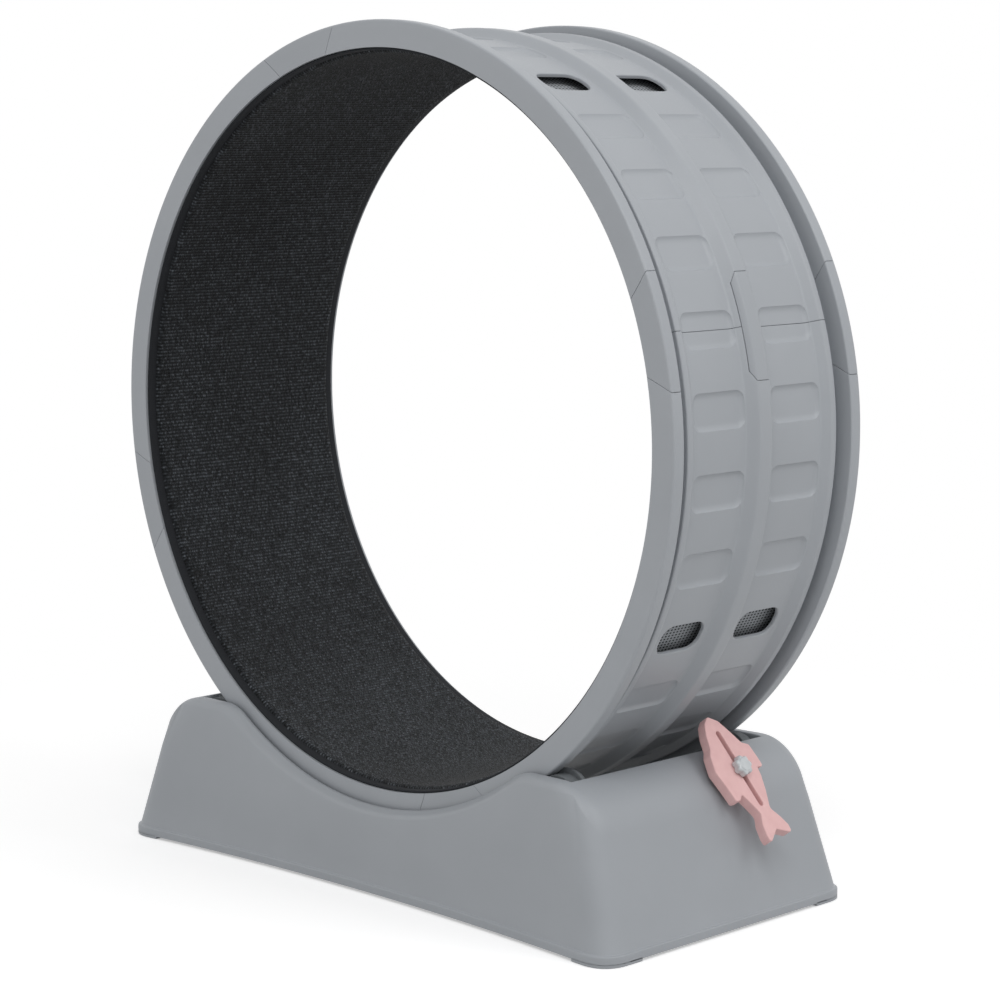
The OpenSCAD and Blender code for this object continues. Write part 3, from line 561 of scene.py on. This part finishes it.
quarters = [drum_quarter(n) for n in range(4)]
print("quarter faces", len(quarters[0].data.polygons))

# %% [markdown]
# The connectors are flush caps over the joints: the same surface on a short grid that straddles
# the joint, with the same rounded edge towards the seam.

# %% Connectors
cap_steps = np.array([45, 40, 32, 24, 16, 8])
seam_edge = seam_off[seam_off < 0][::-1]
cap_base, cap_off = np.r_[np.full(len(seam_edge), SEAM), cap_steps], np.r_[seam_edge, 0 * cap_steps]
cap_base, cap_off = np.r_[-cap_base, 0, cap_base[::-1]], np.r_[-cap_off, 0, cap_off[::-1]]


def connector(kind, number):
    """A cap at a joint: rim caps take the section from the rim's foot out, rib caps the rib."""
    sign = np.where(cap_base < 0, -1.0, 1.0)
    if kind == "centre":
        runs = all_runs[np.abs(all_runs) < rib_seam - GAP + CLOSE]
    else:
        runs = run_lines[run_lines > rim_foot + GAP - CLOSE]
        runs = runs if kind == "front" else -runs[::-1]
    place, away = (sign * (cap_base + cap_off))[:, None], np.abs(runs)[None, :]
    border = rib_seam - GAP - away if kind == "centre" else away - rim_foot - GAP
    arris = np.maximum(drop(np.clip(SEAM - GAP - place, 0, 99), ARRIS), drop(np.clip(border, 0, 99), ARRIS))
    r, y, nr, ny = (np.broadcast_to(v, arris.shape) for v in section(runs))
    target = seam_angle(r, y)
    angle = cap_base[:, None] / SEAM * target + cap_off[:, None] / PANEL_R
    grids = [to_wheel(round_axle(np.maximum(r - depth * nr, BORE_R), y - depth * ny, angle), number)
             for depth in (arris, arris + WALL)]
    verts, faces = thick_skin(*grids, np.ones((len(cap_base) - 1, len(runs) - 1), dtype=bool))
    piece = finish_mesh("%s_cap_%d" % (kind, number + 1), verts, faces, [cap_skin], "wheel", "drum")
    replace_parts(piece, "%s_connector_%d" % (kind, number + 1))
    return piece


caps = [connector(kind, n) for kind in ("front", "centre", "rear") for n in range(4)]
print("caps", len(caps), "faces each", len(caps[0].data.polygons))

# %% [markdown]
# The running mat is a strip of carpet laid inside the drum, a closed sheet. The rows of its pile
# side swell like yarns, and its back is a plain woven scrim that shows in the slots of the drum.
# Its own map unrolls it along and across the track.

# %% Running mat
MAT_IN, MAT_OUT, MAT_HALF, MAT_SWELL, POINTS_PER_ROW = 413.2, 419.2, 138.7, 0.55, 4
mat_rows = int(round(2 * np.pi * MAT_IN / ROW))
around = np.linspace(0, 2 * np.pi, mat_rows * POINTS_PER_ROW, endpoint=False)
across = np.r_[-1, -0.985, -0.95, np.linspace(-0.8, 0.8, 9), 0.95, 0.985, 1] * MAT_HALF


def hoop(r, y, t):
    """Points of a ring: axle + r (cos t, sin t), at the width y."""
    return np.stack(np.broadcast_arrays(r * np.cos(t), y + 0 * t, r * np.sin(t) + AXLE), -1).reshape(-1, 3)


def mat_mesh():
    """Pile radius = 413.2 + 0.55 (1 - cos(rows t)) with soft ends; the back is a plain cylinder."""
    t, w = around[:, None], across[None, :]
    edge = np.clip((MAT_HALF - np.abs(w)) / 3.0, 0, 1)
    wave = MAT_SWELL * (1 - np.cos(mat_rows * t))
    pile_r = MAT_IN + wave * edge + 2.5 * (1 - edge) ** 2 + 0 * w
    n, m = len(around), len(across)
    front = quads(n, m, wrap_u=True)
    rear = quads(n, m, wrap_u=True, base=n * m)[:, ::-1]
    i = np.arange(n)
    rims = [wall(i * m + j, (i + 1) % n * m + j, n * m, j == 0) for j in (0, m - 1)]
    verts = np.concatenate([hoop(pile_r, w, t), hoop(MAT_OUT, w, t)])
    unrolled = np.stack([t * MAT_IN + 0 * w, w + 0 * t], -1).reshape(-1, 2)
    return verts, np.concatenate([front, rear] + rims), np.concatenate([unrolled, unrolled]), len(front)


verts, faces, unrolled, fronts = mat_mesh()
mat = finish_mesh("pile_mat", verts, faces, [pile, scrim], "wheel", "mat", sharp=70, uv=unrolled)
which = np.zeros(len(faces), dtype=np.int32)
which[fronts:2 * fronts] = 1
mat.data.polygons.foreach_set("material_index", which)
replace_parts(mat, "running_mat")
print("mat rows", mat_rows, "faces", len(faces))

# %% [markdown]
# The base is one injection moulding, open underneath. Its long walls lean in and are drawn in at
# the waist, the ends lean more and roll over at a radius of 70 mm, a saddle clears the drum, and a
# small flange runs round the foot. The form is written as a depth: how far a point lies outside
# the skin. Two faces meet in a soft maximum, which rounds the edge by a width that may vary.

# %% Form of the base
SKIN, STEP, LOW_Z = 4.0, 3.5, 13.0
END_X, SIDE_Y, WAIST = 401.5, 202.0, 24.0
END_LEAN, SIDE_LEAN = 0.288, 0.09
SADDLE, SADDLE_Z, BEVEL = 402.0, AXLE - 36.0, 0.6
ROLL, LOW_CORNER, LIP_CORNER = 70.0, 29.0, 5.0
TOP_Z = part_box("base_shell")[1][2] / MM
lean = np.arctan(END_LEAN)
ROLL_Z = TOP_Z - ROLL
ROLL_X = END_X - END_LEAN * (ROLL_Z + ROLL * np.sin(lean) - LOW_Z) - ROLL * np.cos(lean)
LIP_X, LIP_Y = ROLL_X + 14.3, 161.0


def soft_max(a, b, width):
    """max(a, b) + max(width - |a - b|, 0) ** 2 / (4 width): the larger, rounded where they meet."""
    near = np.clip(width - np.abs(a - b), 0, None)
    return np.maximum(a, b) + near * near / (4 * width)


def wall_half(x, z):
    """Half width of the base, drawn in at the waist and less with each millimetre of height."""
    return SIDE_Y - WAIST * (1 - (x / (END_X + STEP)) ** 2) - SIDE_LEAN * (z - LOW_Z)


def depth(x, y, z):
    """Distance outside the skin, negative inside, for a point in the quarter of positive x and y:
    the end wall with its roll and level top, the saddle with its bevel, and the side wall."""
    angle = np.arctan2(z - ROLL_Z, x - ROLL_X)
    end_wall = (x - END_X + END_LEAN * (z - LOW_Z)) * np.cos(lean)
    arc = np.hypot(x - ROLL_X, z - ROLL_Z) - ROLL
    end = np.where(x < ROLL_X, np.maximum(z - TOP_Z, end_wall), np.where(angle < lean, end_wall, arc))
    reach = SADDLE + BEVEL * np.maximum(y - LIP_Y, 0)
    upper = soft_max(end, reach - np.hypot(x, z - SADDLE_Z), 11.0)
    rise = np.where(x < ROLL_X, 1.0, np.clip((angle - lean) / (np.pi / 2 - lean), 0, 1))
    corner = 34.0 - 22.0 * rise * rise * (3 - 2 * rise)
    on_hump = np.clip((x - 215) / 50, 0, 1)
    return soft_max(upper, y - wall_half(x, z), 4.0 + (corner - 4.0) * on_hump)


def halved(level, low, high):
    """Where a growing function of an array crosses zero, by halving the range 36 times."""
    for _ in range(36):
        middle = 0.5 * (low + high)
        above = level(middle) > 0
        low, high = np.where(above, low, middle), np.where(above, middle, high)
    return 0.5 * (low + high)


print("base top", round(TOP_Z, 2), "roll starts at", round(ROLL_X, 2))

# %% [markdown]
# The plan is one quarter in stretches: the side up to the hump, an approach where the foot runs
# ahead of the lip, the corner, and the end. Foot and lip have corner arcs of 29 and 5 mm. Each
# column of the grid climbs the skin above the line from lip to foot.

# %% Plan of the base
side_x = np.r_[np.linspace(0, 205, 27), np.linspace(210, 285, 31)]
lead = np.linspace(0, 1, 11)[1:, None]
bend = np.linspace(0, 1, 17)[1:, None]
meet_y = 118.0
end_y = np.linspace(meet_y, 0, 11)[1:, None]


def quarter_plan(corner_x, corner_y, radius, side_y):
    """Side, approach, corner, leaving and end: points of a plan with one rounded corner."""
    x = np.r_[side_x, side_x[-1] + lead[:, 0] * (corner_x - side_x[-1])]
    a = bend * np.pi / 2
    arc = np.hstack([corner_x + radius * np.sin(a), corner_y + radius * np.cos(a)])
    leave = np.hstack([corner_x + radius + 0 * lead, corner_y + lead * (meet_y - corner_y)])
    end = np.hstack([corner_x + radius + 0 * end_y, end_y])
    return np.concatenate([np.stack([x, side_y(x)], -1), arc, leave, end])


foot_cx = END_X - LOW_CORNER
foot_aim = quarter_plan(foot_cx, wall_half(foot_cx, LOW_Z) - LOW_CORNER, LOW_CORNER,
                        lambda x: wall_half(x, LOW_Z))
lip_cx, lip_cy = LIP_X - LIP_CORNER, LIP_Y - LIP_CORNER
lip = quarter_plan(lip_cx, lip_cy, LIP_CORNER, lambda x: LIP_Y + 0 * x)
inner_lip = quarter_plan(lip_cx, lip_cy, LIP_CORNER - SKIN, lambda x: LIP_Y - SKIN + 0 * x)
away = unit(foot_aim - lip)
to_end = np.clip((np.arange(len(lip)) - len(side_x) - len(lead) + 1) / len(bend), 0, 1)


def height_over(plan, inside=0.0):
    """Height of the skin, or of a surface so far inside it, over points of the plan."""
    level = lambda z: depth(plan[:, 0], plan[:, 1], z) + inside
    return halved(level, np.full(len(plan), 40.0), np.full(len(plan), 220.0))


def climb(top, knee, inside=0.0):
    """Rows up the skin: heights from the foot to the lip, crowded where the wall turns over,
    each moved out along its column to the place where the skin has that height."""
    low_rows = np.linspace(0, 1, 5)[:-1]
    w = np.linspace(0, 1, 29)[None, :-1]
    high = knee[:, None] + (top - knee)[:, None] * (0.45 * w + 0.55 * np.sin(w * np.pi / 2))
    z = np.hstack([LOW_Z + (knee[:, None] - LOW_Z) * low_rows, high])
    place = lambda t: lip[:, None, :] + t[..., None] * away[:, None, :]
    level = lambda t: depth(place(t)[..., 0], place(t)[..., 1], z) + inside
    t = halved(level, np.zeros_like(z), np.full_like(z, 140.0))
    return np.concatenate([place(t), z[..., None]], -1)


lip_z, inner_z, under_z = height_over(lip), height_over(inner_lip), height_over(lip, SKIN)
wall_z = height_over(np.stack([np.minimum(lip[:, 0], foot_aim[:, 0]), wall_half(lip[:, 0], lip_z) - 2.0], -1))
knee = np.minimum(wall_z - 5.0, lip_z - 8.0) * (1 - to_end) + (ROLL_Z + ROLL * np.sin(lean) - 4.0) * to_end
skin_rows, inner_rows = climb(lip_z, knee), climb(under_z, knee - SKIN, SKIN)
print("columns of a quarter", len(lip), "rows", skin_rows.shape[1])

# %% [markdown]
# Each column starts at the foot of the flange, goes over its step, up the skin to the lip round
# the well, and back down inside, 4 mm further in. The small corners are conics whose middle
# weighs the cosine of half the turn, a true arc that stays sound where the two sides line up.

# %% Shell of the base
def conic(a, b, c, length, steps):
    """Arc that touches a-b and b-c at this length from b, for many corners at once."""
    u, v = unit(a - b), unit(c - b)
    weight = np.sqrt(np.clip((1 - (u * v).sum(-1)) / 2, 0, 1))[..., None, None]
    first, last = (b + u * length)[..., None, :], (b + v * length)[..., None, :]
    w = np.linspace(0, 1, steps)[:, None]
    p, q, r = (1 - w) ** 2, 2 * w * (1 - w) * weight, w * w
    return (p * first + q * b[..., None, :] + r * last) / (p + q + r)


foot = skin_rows[:, 0, :2]
run = np.gradient(foot, axis=0)
run[0], run[-1] = (1, 0), (0, -1)
outward = unit(np.stack([-run[:, 1], run[:, 0]], -1))


def at(plan, z):
    """Points of the plan at one height or at a height each."""
    return np.column_stack([plan, z + np.zeros(len(plan))])


TOE_Z, LIP_DEEP = 3.5, 8.0
brim = foot + STEP * outward
toe, edge, corner = at(brim, TOE_Z), at(brim, LOW_Z), at(foot, LOW_Z)
crest, mouth = at(lip, lip_z), at(inner_lip, inner_z)
inner_foot = inner_rows[:, 0, :2]
column = np.concatenate([
    toe[:, None], conic(toe, edge, corner, 2.0, 5), conic(edge, corner, skin_rows[:, 1], 1.2, 4),
    skin_rows[:, 1:], conic(skin_rows[:, -1], crest, mouth, 0.5, 3),
    conic(crest, mouth, mouth - [0, 0, LIP_DEEP], 1.6, 5), at(inner_lip, inner_z - LIP_DEEP)[:, None],
    at(lip, lip_z - LIP_DEEP)[:, None], at(lip, under_z)[:, None],
    inner_rows[:, ::-1], at(inner_foot, TOE_Z)[:, None]], axis=1)
ring = np.concatenate([column * [1, -1, 1], column[-2::-1], column[1:] * [-1, 1, 1],
                       column[-2:0:-1] * [-1, -1, 1]])
shell_verts = ring.reshape(-1, 3)
shell_faces = quads(len(ring), column.shape[1], wrap_u=True, wrap_v=True)
print("base grid", ring.shape[:2])

# %% [markdown]
# The same moulding has four corner feet under the flange, four bosses for the ends of the axles
# and a round seat for the brake with its boss behind. They are short prisms and turned profiles,
# joined to the shell's mesh.

# %% Feet, bosses and brake seat
def placed(verts, place):
    """Points moved by a matrix of four by four."""
    place = np.array(place)
    return verts @ place[:3, :3].T + place[:3, 3]


def turned(profile, count, place):
    """Closed profile (radius, height) spun about Z: (r cos t, r sin t, h), then moved."""
    profile = np.asarray(profile, float)
    r, h = profile[:, 0], profile[:, 1]
    if (r * np.roll(h, -1) - np.roll(r, -1) * h).sum() < 0:
        r, h = r[::-1], h[::-1]
    t = np.linspace(0, 2 * np.pi, count, endpoint=False)[:, None]
    verts = np.stack([r * np.cos(t), r * np.sin(t), h + 0 * t], -1).reshape(-1, 3)
    return placed(verts, place), quads(count, len(r), wrap_u=True, wrap_v=True)


def joined(parts):
    """Several meshes as one: vertices in a row, face numbers moved on."""
    verts, faces, count = [], [], 0
    for v, f in parts:
        verts.append(v)
        faces += [tuple(i + count for i in g) for g in f]
        count += len(v)
    return np.concatenate(verts), faces


def corner_foot(sx, sy):
    """The flange's outline over 52 by 60 mm of a corner, from 0.5 mm off the floor up into it."""
    x0, y0 = END_X + STEP - 52, SIDE_Y + STEP - 60
    line = brim[(brim[:, 0] > x0) & (brim[:, 1] > y0)]
    line = np.vstack([(x0, y0), (x0, line[0, 1]), line, (line[-1, 0], y0)])
    middle = line.mean(0)
    rows = [(0.985, 0.5), (1.0, 1.1), (1.0, TOE_Z + 1.0)]
    verts = np.concatenate([at(middle + k * (line - middle), z) for k, z in rows])
    n = len(line)
    faces = [tuple(f) for f in quads(len(rows), n, wrap_v=True)]
    faces += [tuple(range(n)), tuple(range(3 * n - 1, 2 * n - 1, -1))]
    if sx * sy < 0:
        faces = [f[::-1] for f in faces]
    return verts * [sx, sy, 1], faces


joints = {j["name"]: j for j in frame["record"]["behaviour"]["joints"]}
bolt = np.array(joints["knob_turn"]["pos_m"]) / MM
at_brake = (Matrix.Translation(bolt) @ Matrix.Rotation(np.radians(55), 4, "Y")
            @ Matrix.Rotation(np.radians(189.3), 4, "Z"))
axle_x, _, axle_z = np.array(joints["roller_1_spin"]["pos_m"]) / MM
axle_boss = [(4.15, 151.9), (10.4, 151.9), (11, 152.5), (11, 175.5), (4.15, 175.5)]
brake_boss = [(3.2, -14), (10.5, -14), (10.5, 3.1), (10.1, 3.5), (3.2, 3.5)]
parts = [(shell_verts, shell_faces)]
parts += [corner_foot(sx, sy) for sx in (1, -1) for sy in (1, -1)]
for sx in (1, -1):
    for side in (1, -1):
        place = Matrix.Translation((sx * axle_x, 0, axle_z)) @ Matrix.Rotation(np.radians(-90 * side), 4, "X")
        parts.append(turned(axle_boss, 40, place))
parts.append(turned(brake_boss, 48, at_brake))
base = finish_mesh("moulded_base", *joined(parts), [base_skin], "base", "shell")
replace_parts(base, "base_shell")
print("base faces", len(base.data.polygons))

# %% [markdown]
# A black tape is bound over each edge of the mat: a closed profile with rounded corners, carried
# round the axle, with its weave on its own unrolled map.

# %% Bindings
TAPE_IN, TAPE_OUT, TAPE_STEPS = 416.6, 419.2, 360


def binding(name, low_y, high_y):
    """Ring of radius 416.6 to 419.2 whose section is a rectangle with corners of 1 mm."""
    u = np.linspace(0, np.pi / 2, 5)
    middles = [(TAPE_OUT - 1, high_y - 1), (TAPE_IN + 1, high_y - 1), (TAPE_IN + 1, low_y + 1),
               (TAPE_OUT - 1, low_y + 1)]
    profile = np.concatenate([np.stack([r + np.cos(u + k * np.pi / 2), y + np.sin(u + k * np.pi / 2)], -1)
                              for k, (r, y) in enumerate(middles)])[::-1]
    t = np.linspace(0, 2 * np.pi, TAPE_STEPS, endpoint=False)[:, None]
    r, y = profile[:, 0], profile[:, 1]
    length = np.r_[0, np.cumsum(np.linalg.norm(np.diff(profile, axis=0), axis=1))]
    unrolled = np.stack([t * TAPE_IN + 0 * r, length + 0 * t], -1).reshape(-1, 2)
    faces = quads(TAPE_STEPS, len(r), wrap_u=True, wrap_v=True)
    return finish_mesh(name, hoop(r, y, t), faces, [tape], "wheel", "binding", uv=unrolled)


for name, low_y, high_y, node in (("tape_front", -150.2, -139, "front_mat_binding"),
                                  ("tape_rear", 139, 148.6, "rear_mat_binding")):
    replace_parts(binding(name, low_y, high_y), node)
print("bindings done")

# %% [markdown]
# The brake is a plate with the outline of a fish and a long slot. The outline is a closed line of
# corners with soft arcs, written in shares of its length. Rows of the same line, moved inward
# along its normal, round the edge over by 1.2 mm, and the two flat faces are filled between the
# last rows of outline and slot.

# %% Fish plate
PLATE, BOLT_UP, EDGE, PLATE_LOW, PLATE_TOP = 156.0, 49.3, 1.2, 7.0, 20.0
fish_shares = np.array([
    [0.743, 0.008, 0.03], [0.68, -0.07, 0.03], [0.565, -0.126, 0.05], [0.47, -0.167, 0.02],
    [0.434, -0.226, 0.03], [0.333, -0.234, 0.05], [0.243, -0.237, 0.02], [0.265, -0.176, 0.01],
    [0.2, -0.165, 0.05], [0.09, -0.122, 0.05], [-0.034, -0.058, 0.04], [-0.118, -0.105, 0.05],
    [-0.196, -0.134, 0.04], [-0.261, -0.126, 0.02], [-0.184, 0.002, 0.01], [-0.252, 0.128, 0.02],
    [-0.194, 0.13, 0.03], [-0.107, 0.106, 0.05], [-0.037, 0.061, 0.04], [0.05, 0.09, 0.05],
    [0.142, 0.128, 0.01], [0.11, 0.172, 0.01], [0.117, 0.217, 0.02], [0.245, 0.228, 0.05],
    [0.366, 0.245, 0.04], [0.485, 0.201, 0.03], [0.53, 0.16, 0.02], [0.623, 0.125, 0.05],
    [0.702, 0.073, 0.03]])[::-1]


def soft_outline(shares, size, steps=14):
    """Closed line whose corners are conics that touch both sides at radius / tan(half angle)."""
    p, radius = shares[:, :2] * size, shares[:, 2] * size
    before, after = np.roll(p, 1, axis=0), np.roll(p, -1, axis=0)
    half = np.arccos(np.clip((unit(before - p) * unit(after - p)).sum(-1), -1, 1)) / 2
    shorter = np.minimum(np.linalg.norm(before - p, axis=1), np.linalg.norm(after - p, axis=1))
    touch = np.minimum(radius / np.tan(half), 0.49 * shorter)[:, None]
    return conic(before, p, after, touch, steps).reshape(-1, 2)


def moved_in(line, distance):
    """The line moved to its left, which is inward where it runs against the clock."""
    ahead, behind = np.roll(line, -1, axis=0) - line, line - np.roll(line, 1, axis=0)
    way = unit(ahead) + unit(behind)
    return line + distance * unit(np.stack([-way[:, 1], way[:, 0]], -1))


def edge_rows(line, way):
    """Rows from the lower face over the side to the upper face, round at both edges:
    inset = R (1 - sin a), height = face -+ R (1 - cos a)."""
    a = np.linspace(0, np.pi / 2, 6)
    inset = EDGE * np.r_[1 - np.sin(a), 1 - np.sin(a[::-1])]
    z = np.r_[PLATE_LOW + EDGE * (1 - np.cos(a)), PLATE_TOP - EDGE * (1 - np.cos(a[::-1]))]
    return np.stack([at(moved_in(line, way * d), h) for d, h in zip(inset, z)])


body_line = soft_outline(fish_shares, PLATE) - [BOLT_UP, 0]
half_turn = np.linspace(-np.pi / 2, np.pi / 2, 17)
SLOT_REACH, SLOT_R, SLOT_SHIFT = 44.2, 3.3, 0.5
slot_end = np.column_stack([SLOT_REACH + SLOT_R * np.cos(half_turn), SLOT_R * np.sin(half_turn)])
slot_line = np.concatenate([slot_end, -slot_end]) - [SLOT_SHIFT, 0]
sides = [edge_rows(body_line, 1.0), edge_rows(slot_line, -1.0)]
fish_parts = []
for rows, flip in zip(sides, (False, True)):
    faces = quads(rows.shape[0], rows.shape[1], wrap_v=True)[:, ::-1]
    fish_parts.append((rows.reshape(-1, 3), faces[:, ::-1] if flip else faces))
for row, up in ((0, False), (-1, True)):
    loops = [[Vector(p) for p in rows[row]] for rows in sides]
    flat = np.concatenate([rows[row] for rows in sides])
    triangles = [tuple(t) for t in tessellate_polygon(loops)]
    area = sum(np.cross(flat[b, :2] - flat[a, :2], flat[c, :2] - flat[a, :2]) for a, b, c in triangles)
    fish_parts.append((flat, [t if (area > 0) == up else t[::-1] for t in triangles]))
verts, faces = joined(fish_parts)
verts = placed(verts, at_brake)
fish = finish_mesh("fish_plate", verts, faces, [pink], "brake_plate", "pink", sharp=40, weld=0.001)
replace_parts(fish, "brake_fish")
print("fish faces", len(fish.data.polygons))

# %% [markdown]
# The star knob has seven soft lobes round a flat top. It is a profile spun about the bolt whose
# radius swells and shrinks round the turn, most at the rim and not at all in the middle, so that
# the lobes run out into the round top disc. Below it is hollow for the stud.

# %% Star knob
knob_rows = np.array([
    [3.05, 26.1, 0], [3.05, 23.6, 0], [3.05, 21.5, 0], [3.4, 21.2, 0], [7.0, 21.2, 0.2],
    [11.3, 21.2, 1], [11.75, 21.4, 1], [11.95, 21.9, 1], [12.0, 23.0, 1], [11.95, 26.2, 1],
    [11.8, 27.6, 1], [11.4, 28.6, 1], [10.8, 29.2, 0.9], [10.0, 29.55, 0.7], [8.9, 29.75, 0.4],
    [8.1, 29.9, 0.15], [7.75, 30.2, 0.05], [7.5, 30.5, 0], [7.1, 30.66, 0], [6.4, 30.7, 0], [3.5, 30.6, 0]])
turn_steps = np.linspace(0, 2 * np.pi, 168, endpoint=False)[:, None]


def knob_mesh():
    """Radius = r - 2.1 share ((1 - cos 7 t) / 2) ** 1.4 at each row, closed by a fan at each end."""
    r, z, share = knob_rows[:, 0], knob_rows[:, 1], knob_rows[:, 2]
    r = r - 2.1 * share * ((1 - np.cos(7 * turn_steps)) / 2) ** 1.4
    grid = np.stack([r * np.cos(turn_steps), r * np.sin(turn_steps), z + 0 * r], -1)
    n, m = grid.shape[:2]
    verts = np.vstack([grid.reshape(-1, 3), (0, 0, z[0]), (0, 0, z[-1])])
    i, j = np.arange(n) * m, (np.arange(n) + 1) % n * m
    faces = [tuple(f) for f in quads(n, m, wrap_u=True)]
    faces += list(zip(j, i, np.full(n, n * m))) + list(zip(i + m - 1, j + m - 1, np.full(n, n * m + 1)))
    return placed(verts, at_brake), faces


knob = finish_mesh("lobed_knob", *knob_mesh(), [gloss_grey], "brake_knob", "knob", sharp=50)
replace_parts(knob, "star_knob")
print("knob faces", len(knob.data.polygons))

# %% [markdown]
# What is left are small parts that a plain solid shows well: axles, clips, bearings, rollers,
# screws, washer, stud, nut, spacer and pads. They stay as packed and get their materials here.

# %% Materials of the small parts
small = {"axle": zinc, "connector_screws": zinc, "brake_nut": zinc, "brake_washer": zinc, "brake_stud": zinc,
         "roller_bearings": chrome_steel, "roller_hub": core_skin, "roller_tyre": tread_rubber,
         "foot_pad": pad_rubber, "brake_spacer": spacer_plastic}
dressed = []
for name in frame["nodes"]:
    node = bpy.data.objects.get(name)
    matches = [key for key in small if name.startswith(key)]
    if matches and node and node.type == "MESH":
        node.data.materials.clear()
        node.data.materials.append(small[matches[0]])
        dressed.append(name)
print("dressed", len(dressed), "small parts")

# %% [markdown]
# Floor, light and backdrop are not part of the wheel. Two large soft lamps, from the right and
# from above the front, and a weak one from the left give even light; the world fills the shadows.
# The sky is seen plain white, and the floor too beyond 1.3 m; nearer it takes a soft shadow.

# %% Floor and light
def soft_lamp(name, place, size, watts):
    """A round area lamp that is turned towards the middle of the wheel."""
    data = bpy.data.lights.new(name, "AREA")
    data.shape, data.size, data.energy = "DISK", size, watts
    lamp = in_scene(name, data)
    lamp.location = place
    lamp.rotation_euler = (Vector(place) - Vector((0.0, 0.0, 0.45))).to_track_quat("Z", "Y").to_euler()


def seen_as_white(tree):
    """One for a ray of the camera, or one that a mirror or clear part sends on, otherwise zero."""
    path = add(tree, "LightPath")
    mirror = combine(tree, "MAXIMUM", (path, "Is Glossy Ray"), (path, "Is Transmission Ray"))
    return combine(tree, "MAXIMUM", (path, "Is Camera Ray"), (mirror, 0))


soft_lamp("lamp_right", (2.96, 0.79, 3.02), 2.2, 29.0)
soft_lamp("lamp_left", (-2.22, -3.16, 1.49), 2.4, 5.0)
soft_lamp("lamp_front", (1.9, -1.9, 3.3), 1.6, 31.0)

world = bpy.data.worlds.new("sky")
bpy.context.scene.world = world
world.use_nodes = True
tree = world.node_tree
tree.nodes.clear()
sky_out = add(tree, "OutputWorld")
WHITE = (1, 1, 1, 1)
seen = seen_as_white(tree)
fill, white = (add(tree, "Background", {"Color": WHITE, "Strength": s}) for s in (0.59, 1.0))
sky = add(tree, "MixShader", links={0: (seen, 0), 1: (fill, 0), 2: (white, 0)})
tree.links.new(sky.outputs[0], sky_out.inputs["Surface"])

floor_paint, tree, out = start("pale_floor")
where = add(tree, "TexCoord")
reach = add(tree, "VectorMath", links={0: (where, "Object")}, operation="LENGTH")
far = add(tree, "MapRange", {"From Min": 0.55, "From Max": 1.3}, {"Value": (reach, "Value")})
paint, dull = (add(tree, "BsdfDiffuse", {"Color": (v, v, v, 1)}) for v in (0.86, 0.62))
glow, plain = (add(tree, "Emission", {"Color": WHITE, "Strength": s}) for s in (0.4, 1.0))
near = add(tree, "AddShader", links={0: (paint, 0), 1: (glow, 0)})
lit = add(tree, "MixShader", links={0: (far, "Result"), 1: (near, 0), 2: (plain, 0)})
seen = seen_as_white(tree)
pick = add(tree, "MixShader", links={0: (seen, 0), 1: (dull, 0), 2: (lit, 0)})
tree.links.new(pick.outputs[0], out.inputs["Surface"])
floor_mesh = bpy.data.meshes.new("floor")
FAR = 14.0
floor_mesh.from_pydata([(-FAR, -FAR, 0), (FAR, -FAR, 0), (FAR, FAR, 0), (-FAR, FAR, 0)], [], [(0, 1, 2, 3)])
floor_mesh.materials.append(floor_paint)
floor = in_scene("floor", floor_mesh)
bpy.context.scene.view_settings.view_transform = "Standard"
print("floor, sky and three lamps")
